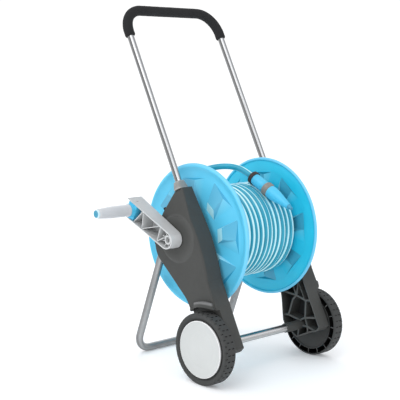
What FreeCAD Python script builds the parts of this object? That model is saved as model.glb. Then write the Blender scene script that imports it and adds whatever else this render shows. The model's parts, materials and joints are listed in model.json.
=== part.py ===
import FreeCAD, Part
import Sketcher
import math
import os

from FreeCAD import Placement, Rotation, Vector

# Garden hose reel cart, in millimetres. X runs across the cart from the crank side to the water
# side, the wheels lead at -Y and the person who pulls it walks at +Y, and Z is up from the floor.
# Every piece is drawn with X = 0 midway between the wheels and Y = 0 on the wheel axle. At the end
# all pieces move together by place_x and place_y, which puts the origin on the floor under the
# middle of the whole cart.

DIMENSIONS = [
    ("place_x", 63.45, "shift of the middle plane from the origin"),
    ("place_y", -149.5, "shift of the wheel axle from the origin"),
    ("wheel_radius", 88.0, "outer radius of a wheel"),
    ("wheel_width", 34.0, "width of the tread"),
    ("wheel_middle", 200.0, "middle plane of a wheel"),
    ("hubcap_radius", 70.8, "radius of the wheel's outer cap"),
    ("axle_radius", 5.0, "solid axle rod"),
    ("axle_tube_radius", 10.0, "tube round the axle between the side panels"),
    ("running_gap", 0.05, "radial clearance of a turning fit"),
    ("fit_gap", 0.1, "radial clearance of a fixed fit"),
    ("panel_inner", 140.0, "open inner edge of a side panel"),
    ("panel_outer", 190.0, "outer face of a side panel"),
    ("panel_wall", 3.0, "moulded wall"),
    ("wheel_bay_radius", 100.0, "radius of the recess for the wheel"),
    ("wheel_bay_face", 178.5, "face of the panel inside that recess"),
    ("drum_y", 117.5, "drum axis"),
    ("drum_z", 337.3, "drum axis"),
    ("flange_radius", 181.7, "drum flange"),
    ("flange_inner", 119.5, "inner face of a flange"),
    ("core_radius", 88.2, "outside of the drum core"),
    ("hose_diameter", 15.8, "outside of the hose"),
    ("coil_radius", 120.0, "outside of the wound hose"),
    ("journal_radius", 16.0, "drum journal in its bush"),
    ("bush_radius", 20.0, "outside of the bush"),
    ("handle_x", 162.6, "middle plane of a handle leg"),
    ("handle_tube_radius", 8.8, "handle tube"),
    ("handle_top_y", 373.4, "middle of the handle's cross bar"),
    ("handle_top_z", 892.9, "middle of the handle's cross bar"),
    ("handle_lean", 0.5443, "run of the handle per unit of rise"),
    ("handle_bend", 62.0, "bend radius of the handle"),
    ("grip_radius", 13.6, "foam sleeve on the handle"),
    ("stand_x", 166.0, "middle plane of a stand leg"),
    ("stand_tube_radius", 9.6, "stand tube"),
    ("stand_foot_y", 294.6, "floor bar of the stand"),
    ("stand_lean", -0.3515, "run of the stand per unit of rise"),
    ("stand_bend", 48.0, "bend radius of the stand"),
    ("tube_wall", 1.3, "wall of the bent tubes"),
    ("arm_length", 137.0, "drum axis to the crank grip's axis"),
    ("arm_angle", 25.5, "crank arm above the horizontal at rest"),
    ("arm_back", 194.0, "back of the crank arm"),
    ("arm_depth", 34.0, "depth of the arm's channel at the hub"),
    ("arm_end_depth", 45.0, "depth of the arm's channel at the grip"),
    ("arm_wall", 2.6, "wall of the arm's channel"),
    ("crank_grip_length", 96.0, "turning sleeve of the crank grip"),
    ("crank_grip_radius", 15.2, "turning sleeve of the crank grip"),
    ("tail_x", 44.0, "middle plane of the connector and nozzle"),
    ("tail_angle", 25.7, "where the connector touches the windings, in front of the top"),
    ("tail_reach", 137.0, "drum axis to the nozzle's axis"),
]


class Size(float):
    """A length that remembers the spreadsheet expression it comes from."""

    def __new__(cls, value, text):
        made = super().__new__(cls, value)
        made.text = text
        return made

    def __add__(self, other):
        return Size(float(self) + float(other), f"{self.text} + {text_of(other)}")

    def __sub__(self, other):
        return Size(float(self) - float(other), f"{self.text} - ({text_of(other)})")

    def __neg__(self):
        return Size(-float(self), f"-({self.text})")

    def __mul__(self, other):
        return Size(float(self) * float(other), f"({self.text}) * {text_of(other)}")


def text_of(value):
    return value.text if isinstance(value, Size) else repr(float(value))


class Sizes:
    """The spreadsheet's cells, by alias."""


DOC = FreeCAD.newDocument("HoseReelCart")
SHEET = DOC.addObject("Spreadsheet::Sheet", "Dimensions")
D = Sizes()
for row, (alias, number, meaning) in enumerate(DIMENSIONS, start=1):
    SHEET.set(f"A{row}", alias)
    SHEET.set(f"B{row}", str(number))
    SHEET.set(f"C{row}", meaning)
    SHEET.setAlias(f"B{row}", alias)
DOC.recompute()
for alias, number, meaning in DIMENSIONS:
    setattr(D, alias, Size(SHEET.get(alias), "Dimensions." + alias))

X_AXIS = Vector(1, 0, 0)
Z_AXIS = Vector(0, 0, 1)
DRUM = Vector(0, D.drum_y, D.drum_z)
AXLE = Vector(0, 0, D.wheel_radius)
SUB_PARTS = []


# ---------------------------------------------------------------- drawing helpers


def keep(name, thing):
    """Marks an object as a finished sub-part."""
    thing.Label = name
    SUB_PARTS.append(thing)
    return thing


def bind(thing, prop, value):
    setattr(thing, prop, float(value))
    if isinstance(value, Size):
        thing.setExpression(prop, value.text)


def turn_to(direction):
    return Rotation(Z_AXIS, Vector(*direction))


def put(thing, at, rotation=Rotation()):
    """Places an object and binds each coordinate that comes from the sheet."""
    thing.Placement = Placement(Vector(*[float(c) for c in at]), rotation)
    for letter, value in zip("xyz", at):
        if isinstance(value, Size):
            thing.setExpression(f"Placement.Base.{letter}", value.text)


def cylinder(name, radius, length, at, along=(1, 0, 0)):
    made = DOC.addObject("Part::Cylinder", name)
    bind(made, "Radius", radius)
    bind(made, "Height", length)
    put(made, at, turn_to(along))
    return made


def block(name, sizes, at):
    made = DOC.addObject("Part::Box", name)
    for prop, value in zip(("Length", "Width", "Height"), sizes):
        bind(made, prop, value)
    put(made, at)
    return made


def union(name, pieces):
    made = DOC.addObject("Part::MultiFuse", name)
    made.Shapes = pieces
    made.Refine = True
    return made


def cut(name, base, tools):
    made = DOC.addObject("Part::Cut", name)
    made.Base = base
    made.Tool = tools[0] if len(tools) == 1 else union(name + "_tools", tools)
    made.Refine = True
    return made


def solid(name, shape):
    made = DOC.addObject("Part::Feature", name)
    made.Shape = shape
    return made


def origin_plane(body, role):
    return next(f for f in body.Origin.OriginFeatures if f.Role == role)


def draw_outline(sketch, corners):
    """A closed outline of straight lines, with each corner dimensioned from the origin."""
    count = len(corners)
    for i, (across, up) in enumerate(corners):
        ahead = corners[(i + 1) % count]
        start = Vector(float(across), float(up), 0)
        sketch.addGeometry(Part.LineSegment(start, Vector(float(ahead[0]), float(ahead[1]), 0)))
    for i in range(count):
        sketch.addConstraint(Sketcher.Constraint("Coincident", i, 2, (i + 1) % count, 1))
    for i, corner in enumerate(corners):
        for kind, value in zip(("DistanceX", "DistanceY"), corner):
            mark = sketch.addConstraint(Sketcher.Constraint(kind, -1, 1, i, 1, float(value)))
            if isinstance(value, Size):
                sketch.setExpression(f"Constraints[{mark}]", value.text)


def turned(name, corners, at, direction=(1, 0, 0)):
    """A body of revolution. Corners are (along the axis, radius); the axis leaves at direction."""
    body = DOC.addObject("PartDesign::Body", name)
    sketch = body.newObject("Sketcher::SketchObject", name + "_profile")
    sketch.AttachmentSupport = (origin_plane(body, "XY_Plane"), [""])
    sketch.MapMode = "FlatFace"
    draw_outline(sketch, corners)
    turn = body.newObject("PartDesign::Revolution", name + "_turn")
    turn.Profile = sketch
    turn.ReferenceAxis = (sketch, ["H_Axis"])
    turn.Angle = 360.0
    body.Tip = turn
    put(body, at, Rotation(X_AXIS, Vector(*direction)))
    return body


def polar(radius, degrees, across=0.0, centre=DRUM):
    """A point at a radius from an X axis, at an angle from straight up towards -Y."""
    angle = math.radians(degrees)
    return centre + Vector(across, -radius * math.sin(angle), radius * math.cos(angle))


def drum_disc(radius, start, end, hole=0.0, centre=DRUM):
    """A washer about an X axis, between two planes of constant X."""
    low = min(start, end)
    made = Part.makeCylinder(radius, abs(end - start), centre + Vector(low, 0, 0), X_AXIS)
    if hole:
        made = made.cut(Part.makeCylinder(hole, abs(end - start), centre + Vector(low, 0, 0), X_AXIS))
    return made


def outline_wire(start, steps, across=0.0):
    """A closed wire in the YZ plane. A step is a corner, or a pair (point on the arc, its end)."""
    edges = []
    here = Vector(across, *start)
    for step in steps + [start]:
        if isinstance(step[0], tuple):
            ahead = Vector(across, *step[1])
            edges.append(Part.Arc(here, Vector(across, *step[0]), ahead).toShape())
        else:
            ahead = Vector(across, *step)
            edges.append(Part.makeLine(here, ahead))
        here = ahead
    return Part.Wire(edges)


def prism(wire, length):
    return Part.Face(wire).extrude(Vector(length, 0, 0))


def mirrored(shape):
    return shape.mirror(Vector(0, 0, 0), X_AXIS)


def bent_path(points, radii):
    """Straight runs joined by tangent arcs, one radius for each inner point."""
    edges = []
    here = points[0]
    for before, corner, after, radius in zip(points, points[1:], points[2:], radii):
        back = (before - corner).normalize()
        ahead = (after - corner).normalize()
        half = back.getAngle(ahead) / 2
        reach = radius / math.tan(half)
        start = corner + back * reach
        end = corner + ahead * reach
        inward = (back + ahead).normalize()
        middle = corner + inward * (radius / math.sin(half) - radius)
        edges.append(Part.makeLine(here, start))
        edges.append(Part.Arc(start, middle, end).toShape())
        here = end
    edges.append(Part.makeLine(here, points[-1]))
    return Part.Wire(edges)


def swept(path, radius):
    """A round bar along a path."""
    first = path.Edges[0]
    start = first.valueAt(first.FirstParameter)
    circle = Part.Wire(Part.makeCircle(radius, start, first.tangentAt(first.FirstParameter)))
    return path.makePipeShell([circle], True, False)


def bent_tube(path, radius, wall):
    return swept(path, radius).cut(swept(path, radius - wall))


# ---------------------------------------------------------------- handle and stand

LEG_UP = Vector(0, D.handle_lean, 1).normalize()
STAND_UP = Vector(0, D.stand_lean, 1).normalize()
HANDLE_END_Z = 262.0
STAND_END_Z = 378.0


def handle_point(across, height):
    rise = height - D.handle_top_z
    return Vector(across, D.handle_top_y + D.handle_lean * rise, height)


def stand_point(across, height):
    rise = height - D.stand_tube_radius
    return Vector(across, D.stand_foot_y + D.stand_lean * rise, height)


def make_handle():
    side = float(D.handle_x)
    corners = [
        handle_point(-side, HANDLE_END_Z),
        handle_point(-side, D.handle_top_z),
        handle_point(side, D.handle_top_z),
        handle_point(side, HANDLE_END_Z),
    ]
    bends = [float(D.handle_bend)] * 2
    tube = bent_tube(bent_path(corners, bends), D.handle_tube_radius, D.tube_wall)
    for hole in screw_holes():
        tube = tube.cut(hole)
    keep("handle_tube", solid("handle_tube", tube))

    sleeve_end = 76.5
    ends = [corners[1] - LEG_UP * sleeve_end, corners[1], corners[2], corners[2] - LEG_UP * sleeve_end]
    path = bent_path(ends, bends)
    sleeve = swept(path, D.grip_radius).cut(swept(path, D.handle_tube_radius + D.fit_gap))
    keep("handle_grip", solid("handle_grip", sleeve))


def make_stand():
    side = float(D.stand_x)
    foot = float(D.stand_tube_radius)
    corners = [
        stand_point(-side, STAND_END_Z),
        stand_point(-side, foot),
        stand_point(side, foot),
        stand_point(side, STAND_END_Z),
    ]
    tube = bent_tube(bent_path(corners, [float(D.stand_bend)] * 2), D.stand_tube_radius, D.tube_wall)
    for hole in screw_holes():
        tube = tube.cut(hole)
    keep("stand_tube", solid("stand_tube", tube))


# Screws run outwards through the tubes into bosses on the panel's floor.
SCREW_RADIUS = 2.0
SCREW_HEAD_RADIUS = 4.2
SCREW_HEAD_HEIGHT = 2.4
SCREW_TIP = 186.0
SCREW_SPOTS = [
    (float(D.handle_x), float(D.handle_tube_radius), handle_point(0, 285.0)),
    (float(D.handle_x), float(D.handle_tube_radius), handle_point(0, 380.0)),
    (float(D.stand_x), float(D.stand_tube_radius), stand_point(0, 312.0)),
    (float(D.stand_x), float(D.stand_tube_radius), stand_point(0, 362.0)),
]


def screw_holes():
    reach = float(D.panel_outer)
    holes = []
    for across, tube_radius, spot in SCREW_SPOTS:
        start = spot - X_AXIS * reach
        holes.append(Part.makeCylinder(SCREW_RADIUS + D.fit_gap, 2 * reach, start, X_AXIS))
    return holes


def make_frame_screws():
    screws = []
    for across, tube_radius, spot in SCREW_SPOTS:
        head = across - tube_radius - SCREW_HEAD_HEIGHT - 0.3
        shank = Part.makeCylinder(SCREW_RADIUS, SCREW_TIP - head, spot + X_AXIS * head, X_AXIS)
        cap = Part.makeCylinder(SCREW_HEAD_RADIUS, SCREW_HEAD_HEIGHT, spot + X_AXIS * head, X_AXIS)
        slot = Part.makeBox(1.4, 5.2, 1.2, spot + Vector(head - 0.2, -2.6, -0.6))
        cross = Part.makeBox(1.4, 1.2, 5.2, spot + Vector(head - 0.2, -0.6, -2.6))
        screw = shank.fuse(cap).cut(slot).cut(cross)
        screws += [screw, mirrored(screw)]
    keep("frame_screws", solid("frame_screws", Part.makeCompound(screws)))


# ---------------------------------------------------------------- side panels

SEAT_Z = 455.0
SEAT = handle_point(0, SEAT_Z)
SEAT_ACROSS = Vector(0, LEG_UP.z, -LEG_UP.y)
SEAT_FRONT = SEAT - SEAT_ACROSS * 15.0
SEAT_BACK = SEAT + SEAT_ACROSS * 12.0

PANEL_START = (-72.0, 95.0)
PANEL_STEPS = [
    (9.0, 250.0),
    ((30.0, 311.0), (57.0, 365.0)),
    (SEAT_FRONT.y, SEAT_FRONT.z),
    (SEAT_BACK.y, SEAT_BACK.z),
    (176.0, 389.5),
    ((195.0, 353.0), (200.0, 313.0)),
    ((193.5, 289.0), (176.0, 270.0)),
    (88.0, 197.0),
    ((69.0, 172.0), (60.0, 140.0)),
    (53.5, 92.0),
    (47.0, 79.0),
    (4.0, 53.5),
    (-44.5, 77.7),
    ((-56.0, 80.0), (-64.0, 85.0)),
]
RIB = 2.4
CELL_RIB = 5.0
RIB_INNER = 144.0
HUB_BOSS_RADIUS = 27.0
AXLE_BOSS_RADIUS = 12.2
AXLE_BOSS_INNER = 88.0
HUB_PAD_RADIUS = 62.0
HUB_PAD_RISE = 1.6
HUB_PAD_ROOT = 0.4
HUB_PAD_SLOPE = 7.0
LIP_OUTER = 204.0
LIP_RADIUS = 113.0
LIP_MIDDLE = 13.0
LIP_BOW = 68.0
LIP_SET_IN = 3.5
TOP_SLOPE_START = 392.0
TOP_SLOPE_END = 462.0
TOP_OUTER = 174.0


def rib_wall(start, end, thick=RIB):
    """A thin wall across the panel between two (y, z) points."""
    begin = Vector(RIB_INNER, *start)
    finish = Vector(RIB_INNER, *end)
    run = finish - begin
    side = Vector(0, -run.z, run.y).normalize() * (thick / 2)
    corners = [begin + side, finish + side, finish - side, begin - side]
    return prism(Part.makePolygon(corners + corners[:1]), float(D.panel_outer) - RIB_INNER)


def honeycomb_ribs():
    """The stiffening cells on the panel's inner side, from the foot up to the drum hub."""
    foot = (0.0, 88.0)
    cell = [(-19.0, 110.0), (-2.0, 100.0), (38.0, 107.0), (25.0, 151.0), (13.0, 164.0), (-19.0, 156.0)]
    pairs = [(cell[i], cell[(i + 1) % 6]) for i in range(6)]
    knee = (-28.0, 88.0)
    pairs += [(foot, cell[1]), (foot, knee), (knee, (-62.0, 80.0)), (knee, cell[0]), (knee, (-30.0, 66.0))]
    pairs += [(foot, (4.0, 50.0)), (cell[2], (56.0, 104.0)), (cell[4], (72.0, 168.0))]
    pairs += [(cell[5], (-44.0, 162.0)), (cell[4], (4.0, 242.0)), (cell[0], (-62.0, 118.0))]
    upper = [(52.0, 232.0), (96.0, 246.0), (104.0, 290.0), (62.0, 300.0)]
    pairs += [(cell[4], upper[0]), ((4.0, 242.0), upper[0]), (upper[0], upper[1]), (upper[1], upper[2])]
    pairs += [(upper[2], upper[3]), (upper[3], upper[0]), (upper[1], (134.0, 240.0))]
    hub = (float(D.drum_y), float(D.drum_z))
    for degrees in range(15, 375, 45):
        angle = math.radians(degrees)
        ray = (math.cos(angle), math.sin(angle))
        near = tuple(c + 26.0 * r for c, r in zip(hub, ray))
        far = tuple(c + 62.0 * r for c, r in zip(hub, ray))
        pairs.append((near, far))
    return [rib_wall(a, b, CELL_RIB) for a, b in pairs]


def socket_ribs():
    """Pairs of walls that hold the handle leg and the stand leg."""
    walls = []
    for low, high, along, radius in (
        (handle_point(0, 150.0), handle_point(0, 447.0), LEG_UP, D.handle_tube_radius),
        (stand_point(0, 300.0), stand_point(0, 384.0), STAND_UP, D.stand_tube_radius),
    ):
        side = Vector(0, along.z, -along.y) * (float(radius) + 0.6 + RIB / 2)
        for edge in (side, -side):
            start = low + edge
            end = high + edge
            walls.append(rib_wall((start.y, start.z), (end.y, end.z)))
    return walls


def leg_bar(point, low, high, across, radius):
    start = point(across, low)
    run = point(across, high) - start
    return Part.makeCylinder(radius, run.Length, start, run)


def outer_rim(panel_block):
    """The edges round the panel's outer face, without the crease where the top starts to lean."""
    outer = float(D.panel_outer)
    rim = []
    for edge in panel_block.Edges:
        box = edge.BoundBox
        crease = box.ZLength < 0.1 and box.XLength < 0.1 and box.YLength > 20.0
        crease = crease and abs(box.ZMin - TOP_SLOPE_START) < 0.5
        if box.XMin > TOP_OUTER - 4.0 and box.XMax < outer + 0.1 and not crease:
            rim.append(edge)
    return rim


def hub_pad(outer):
    """A low round swelling of the outer face about the drum axis, with a sloped edge."""
    start = DRUM + X_AXIS * (outer - HUB_PAD_ROOT)
    top_radius = HUB_PAD_RADIUS - HUB_PAD_SLOPE
    pad = Part.makeCone(HUB_PAD_RADIUS, top_radius, HUB_PAD_RISE + HUB_PAD_ROOT, start, X_AXIS)
    return pad.cut(top_slope(0.0))


def top_slope(inset):
    """What is taken off the outer face near the top, where it leans in towards the leg."""
    outer = float(D.panel_outer) - inset
    lean = (outer - TOP_OUTER + inset) / (TOP_SLOPE_END - TOP_SLOPE_START)
    top = 500.0
    corners = [
        Vector(outer, 0.0, TOP_SLOPE_START),
        Vector(outer - lean * (top - TOP_SLOPE_START), 0.0, top),
        Vector(outer + 40.0, 0.0, top),
        Vector(outer + 40.0, 0.0, TOP_SLOPE_START),
    ]
    return Part.Face(Part.makePolygon(corners + corners[:1])).extrude(Vector(0, 300.0, 0))


def wheel_lip(outline):
    """The brow over the wheel. It swells from the outer face and fades out at both ends."""
    bay = float(D.wheel_bay_radius)
    start = float(D.wheel_bay_face) - 6.0
    brow = drum_disc(LIP_RADIUS, start, LIP_OUTER, bay, AXLE)
    whole_turn = 2.0 * math.pi * (LIP_RADIUS - 1.0)
    crest = [e for e in brow.Edges if e.BoundBox.XMin > LIP_OUTER - 0.1 and e.Length > whole_turn]
    brow = brow.makeFillet(8.0, crest)
    middle = Vector(LIP_OUTER - LIP_BOW, LIP_MIDDLE, 120.0)
    bow = Part.makeCylinder(LIP_BOW, 120.0, middle, Z_AXIS)
    within = prism(outline.makeOffset2D(-LIP_SET_IN), LIP_OUTER - float(D.panel_inner))
    above = Part.makeBox(80.0, 160.0, 90.0, Vector(start, -70.0, 150.0))
    return brow.common(bow).common(within).common(above)


def panel_shape():
    """The right-hand panel: a deep tray, open towards the drum, with its ribs and bosses."""
    inner = float(D.panel_inner)
    outer = float(D.panel_outer)
    wall = float(D.panel_wall)
    bay = float(D.wheel_bay_radius)
    bay_face = float(D.wheel_bay_face)

    outline = outline_wire(PANEL_START, PANEL_STEPS, inner)
    block_out = prism(outline, outer - inner).cut(top_slope(0.0))
    block_out = block_out.makeFillet(5.0, outer_rim(block_out))
    bay_cut = drum_disc(bay, bay_face, outer + 30.0, 0.0, AXLE)
    outside = block_out.cut(bay_cut).fuse(wheel_lip(outline))

    inside_wire = outline.makeOffset2D(-wall)
    inside = prism(inside_wire, outer - inner - wall).cut(top_slope(wall))
    inside.translate(Vector(-0.5, 0, 0))
    bay_wall = drum_disc(bay + wall, bay_face - wall, outer + 30.0, 0.0, AXLE)
    tray = outside.cut(inside.cut(bay_wall))

    details = [drum_disc(HUB_BOSS_RADIUS, 150.0, outer)]
    details.append(drum_disc(AXLE_BOSS_RADIUS, AXLE_BOSS_INNER, bay_face, 0.0, AXLE))
    for across, tube_radius, spot in SCREW_SPOTS:
        start = across + tube_radius + 0.4
        details.append(Part.makeCylinder(5.0, outer - start - 1.0, spot + X_AXIS * start, X_AXIS))
    full = prism(outline, outer - inner - 1.0).cut([bay_cut, top_slope(1.0)])
    ribs = [rib.common(full) for rib in honeycomb_ribs() + socket_ribs()]
    tray = tray.fuse(ribs + details)
    tray = tray.fuse(hub_pad(outer))
    gap = float(D.fit_gap)
    cuts = [drum_disc(D.bush_radius + gap, RIB_INNER, outer + 5.0)]
    cuts.append(drum_disc(D.axle_tube_radius + gap, AXLE_BOSS_INNER - 1.0, 170.0, 0.0, AXLE))
    cuts.append(drum_disc(D.axle_radius + gap, 160.0, outer, 0.0, AXLE))
    cuts.append(leg_bar(handle_point, HANDLE_END_Z - 2.0, 480.0, D.handle_x, D.handle_tube_radius + gap))
    cuts.append(leg_bar(stand_point, 180.0, STAND_END_Z + 2.0, D.stand_x, D.stand_tube_radius + gap))
    for hole in screw_holes():
        cuts.append(hole.common(Part.makeBox(outer - 2.0, 400.0, 500.0, Vector(0, -100.0, 0))))
    for across, tube_radius, spot in SCREW_SPOTS:
        cuts.append(Part.makeCylinder(5.0, across - inner, spot + X_AXIS * inner, X_AXIS))
    return tray.cut(cuts)


def make_panels():
    right = panel_shape()
    keep("side_panel_right", solid("side_panel_right", right))
    keep("side_panel_left", solid("side_panel_left", mirrored(right)))


TOP_COLLAR_RISE = 21.0


def make_collars():
    """Tapered caps that close the panel's top round each handle leg."""
    side = float(D.handle_x)
    base = SEAT + X_AXIS * side
    turn = Rotation(X_AXIS, SEAT_ACROSS, LEG_UP, "ZXY")
    sections = []
    for rise, wide, deep in ((0.2, 33.0, 25.0), (6.0, 32.0, 24.5), (TOP_COLLAR_RISE, 22.0, 21.5)):
        corner = min(wide, deep) / 2 - 0.6 - (2.0 if rise < 10.0 else 0.0)
        sections.append(rounded_rectangle(wide, deep, corner, Placement(base + LEG_UP * rise, turn)))
    cap = Part.makeLoft(sections, True, True)
    bore = Part.makeCylinder(D.handle_tube_radius + D.fit_gap, 60.0, base - LEG_UP * 10.0, LEG_UP)
    cap = cap.cut(bore)
    keep("handle_collar_right", solid("handle_collar_right", cap))
    keep("handle_collar_left", solid("handle_collar_left", mirrored(cap)))


def rounded_rectangle(wide, deep, corner, place):
    """A closed wire about the local Z axis of a placement."""
    x = wide / 2
    y = deep / 2
    bulge = corner * (1 - math.sqrt(0.5))
    edges = []
    spots = [(1, 1), (-1, 1), (-1, -1), (1, -1)]
    for i, (sx, sy) in enumerate(spots):
        nx, ny = spots[(i + 1) % 4]
        ends = [Vector(sx * x, sy * (y - corner)), Vector(sx * (x - corner), sy * y)]
        if sx != sy:
            ends.reverse()
        middle = Vector(sx * (x - bulge), sy * (y - bulge))
        edges.append(Part.Arc(ends[0], middle, ends[1]).toShape())
        following = [Vector(nx * x, ny * (y - corner)), Vector(nx * (x - corner), ny * y)]
        if nx != ny:
            following.reverse()
        edges.append(Part.makeLine(ends[1], following[0]))
    wire = Part.Wire(edges)
    wire.Placement = place
    return wire


def make_peg():
    """A peg on the crank-side panel's upper edge, with a rubber cap, that a nozzle hangs from."""
    foot = Vector(-D.panel_outer + 14.0, 170.0, 393.5)
    up = Vector(0, 0.69, 0.72).normalize()
    base = Part.makeCylinder(4.2, 6.0, foot, up)
    stem = Part.makeCylinder(2.0, 13.0, foot, up)
    keep("peg_base", solid("peg_base", base.fuse(stem).cut(mirrored(panel_shape()))))
    cap = Part.makeCylinder(4.0, 9.0, foot + up * 6.2, up)
    round_end = [e for e in cap.Edges if e.BoundBox.ZMax > cap.BoundBox.ZMax - 0.5]
    cap = cap.makeFillet(2.0, round_end)
    cap = cap.cut(Part.makeCylinder(2.0 + D.fit_gap, 7.0, foot + up * 6.2, up))
    keep("peg_cap", solid("peg_cap", cap))


# ---------------------------------------------------------------- axle and wheels

AXLE_END = 212.0


def make_axle():
    half = 150.0
    outer = cylinder("axle_tube_outer", D.axle_tube_radius, 2 * half, (-half, 0.0, D.wheel_radius))
    bore = D.axle_tube_radius - D.tube_wall
    inner = cylinder("axle_tube_bore", bore, 2 * half + 2, (-half - 1, 0.0, D.wheel_radius))
    keep("axle_tube", cut("axle_tube", outer, [inner]))

    start = (-AXLE_END, 0.0, D.wheel_radius)
    keep("axle_rod", cylinder("axle_rod", D.axle_radius, 2 * AXLE_END, start))

    clips = []
    for side in (-1, 1):
        near = side * (AXLE_END - 2.7)
        clips.append(drum_disc(9.5, near, near + side * 1.2, D.axle_radius, AXLE))
    keep("axle_clips", solid("axle_clips", Part.makeCompound(clips)))


def make_wheels():
    middle = float(D.wheel_middle)
    half = float(D.wheel_width) / 2
    for name, side in (("left", -1.0), ("right", 1.0)):
        rim = D.wheel_radius
        corners = [
            (-half, D.axle_radius + D.running_gap),
            (-half, 14.0),
            (-half + 2.5, 16.0),
            (-half + 2.5, 66.0),
            (-half, 69.0),
            (-half, 71.5),
            (half - 9.0, 71.5),
            (half - 9.0, rim - 4.5),
            (-half, rim - 4.5),
            (-half, rim - 2.0),
            (-half + 3.0, rim),
            (half - 4.0, rim),
            (half - 0.5, rim - 3.5),
            (half - 0.5, rim - 14.0),
            (half - 6.0, rim - 18.5),
            (half - 6.0, 14.0),
            (half - 8.0, 12.0),
            (half - 8.0, D.axle_radius + D.running_gap),
        ]
        at = (middle * side, 0.0, D.wheel_radius)
        wheel = turned(f"wheel_{name}_body", corners, at, (side, 0, 0))
        DOC.recompute()
        spokes = []
        for step in range(16):
            angle = step * 22.5
            inner = polar(70.5, angle, 0.0, AXLE)
            outer = polar(rim - 4.0, angle, 0.0, AXLE)
            span = outer - inner
            across = Vector(0, -span.z, span.y).normalize() * 1.0
            low = Vector(side * (middle - half + 3.0), 0, 0)
            corner_list = [inner + across, outer + across, outer - across, inner - across]
            face = Part.Face(Part.makePolygon([c + low for c in corner_list + corner_list[:1]]))
            spokes.append(face.extrude(Vector(side * (2 * half - 10.0), 0, 0)))
        ribs = solid(f"wheel_{name}_ribs", Part.makeCompound(spokes))
        keep(f"wheel_{name}", union(f"wheel_{name}", [wheel, ribs]))

        skin = [
            (half - 3.2, 0.0),
            (half - 3.2, 12.0),
            (half - 5.8, 24.0),
            (half - 5.8, D.hubcap_radius - 4.0),
            (half - 2.6, D.hubcap_radius - 1.4),
            (half + 0.2, D.hubcap_radius - 1.4),
            (half + 1.4, D.hubcap_radius - 3.6),
            (half + 1.0, D.hubcap_radius - 6.0),
            (half - 1.6, 44.0),
            (half - 0.4, 14.0),
            (half + 0.4, 0.0),
        ]
        keep(f"hubcap_{name}", turned(f"hubcap_{name}", skin, at, (side, 0, 0)))


# ---------------------------------------------------------------- drum

FLANGE_WALL = 3.0
FACET_COUNT = 8
HUB_SCREW_CIRCLE = 35.4
CORE_SCREW_CIRCLE = 76.0
CORE_SCREW_ANGLES = (153.0, 243.0, 333.0)
CORE_WALL = 4.0


FACET_RISE = 10.5
FACET_INSET = 2.6


def facet(base_x, peak_x, inset=0.0):
    """One boss of the flange: a low hill of flat planes, its foot drawn in all round by the inset."""
    rise = peak_x - base_x
    turn = math.degrees(inset / 110.0)
    foot = {
        "near_low": polar(75.0 + inset, 70.0 + turn, base_x),
        "near_high": polar(74.0 + inset, 97.0 - turn, base_x),
        "far_high": polar(151.0 - inset, 101.0 - turn, base_x),
        "far_low": polar(152.0 - inset, 67.0 + turn, base_x),
    }
    peak = polar(100.0, 87.0, peak_x)
    shoulder = polar(100.0, 70.5 + turn, base_x + 0.8 * rise)
    brink = polar(140.0 - inset, 86.5, base_x + 0.5 * rise)
    planes = [
        (foot["near_low"], foot["near_high"], peak),
        (foot["near_low"], peak, shoulder),
        (shoulder, peak, brink),
        (shoulder, brink, foot["far_low"]),
        (foot["near_high"], foot["far_high"], brink),
        (foot["near_high"], brink, peak),
        (foot["near_low"], shoulder, foot["far_low"]),
        (foot["far_low"], brink, foot["far_high"]),
        (foot["near_low"], foot["far_low"], foot["far_high"], foot["near_high"]),
    ]
    faces = [Part.Face(Part.makePolygon(list(corners) + [corners[0]])) for corners in planes]
    hill = Part.makeSolid(Part.makeShell(faces))
    if hill.Volume < 0:
        hill.reverse()
    return hill


def flange_shape():
    """The right-hand flange: a dished disc with a rolled rim and a ring of faceted bosses."""
    inner = float(D.flange_inner)
    rim = float(D.flange_radius)
    outer = inner + FLANGE_WALL
    bore = float(D.journal_radius + D.fit_gap)
    bead = 4.4
    bead_x = inner + 5.2
    profile = [
        Part.makeLine(Vector(inner, bore), Vector(inner, 152.0)),
        Part.Arc(Vector(inner, 152.0), Vector(inner + 1.4, 163.0), Vector(inner + 4.0, 173.0)).toShape(),
        Part.Arc(
            Vector(inner + 4.0, 173.0),
            Vector(bead_x - bead * 0.75, rim - bead * 0.4),
            Vector(bead_x, rim),
        ).toShape(),
        Part.Arc(
            Vector(bead_x, rim),
            Vector(bead_x + bead * 0.8, rim - bead * 0.6),
            Vector(bead_x + bead, rim - 2 * bead),
        ).toShape(),
        Part.Arc(
            Vector(bead_x + bead, rim - 2 * bead),
            Vector(outer + 1.7, 163.0),
            Vector(outer, 152.0),
        ).toShape(),
        Part.makeLine(Vector(outer, 152.0), Vector(outer, 30.0)),
        Part.makeLine(Vector(outer, 30.0), Vector(outer + 14.0, 26.0)),
        Part.makeLine(Vector(outer + 14.0, 26.0), Vector(outer + 14.0, bore)),
        Part.makeLine(Vector(outer + 14.0, bore), Vector(inner, bore)),
    ]
    disc = Part.Face(Part.Wire(profile)).revolve(Vector(0, 0, 0), X_AXIS, 360.0)
    disc.translate(DRUM)
    disc = disc.fuse([drum_disc(44.0, outer - 1.0, outer + 2.0, 29.0)])
    hills = []
    hollows = []
    for step in range(FACET_COUNT):
        angle = step * 360.0 / FACET_COUNT
        hill = facet(outer - 0.5, outer + FACET_RISE)
        hollow = facet(inner - 0.5, inner + FACET_RISE, FACET_INSET)
        hill.rotate(DRUM, X_AXIS, angle)
        hollow.rotate(DRUM, X_AXIS, angle)
        hills.append(hill)
        hollows.append(hollow)
    disc = disc.fuse(hills).cut(hollows)
    return disc.cut(drum_screw_holes())


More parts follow.
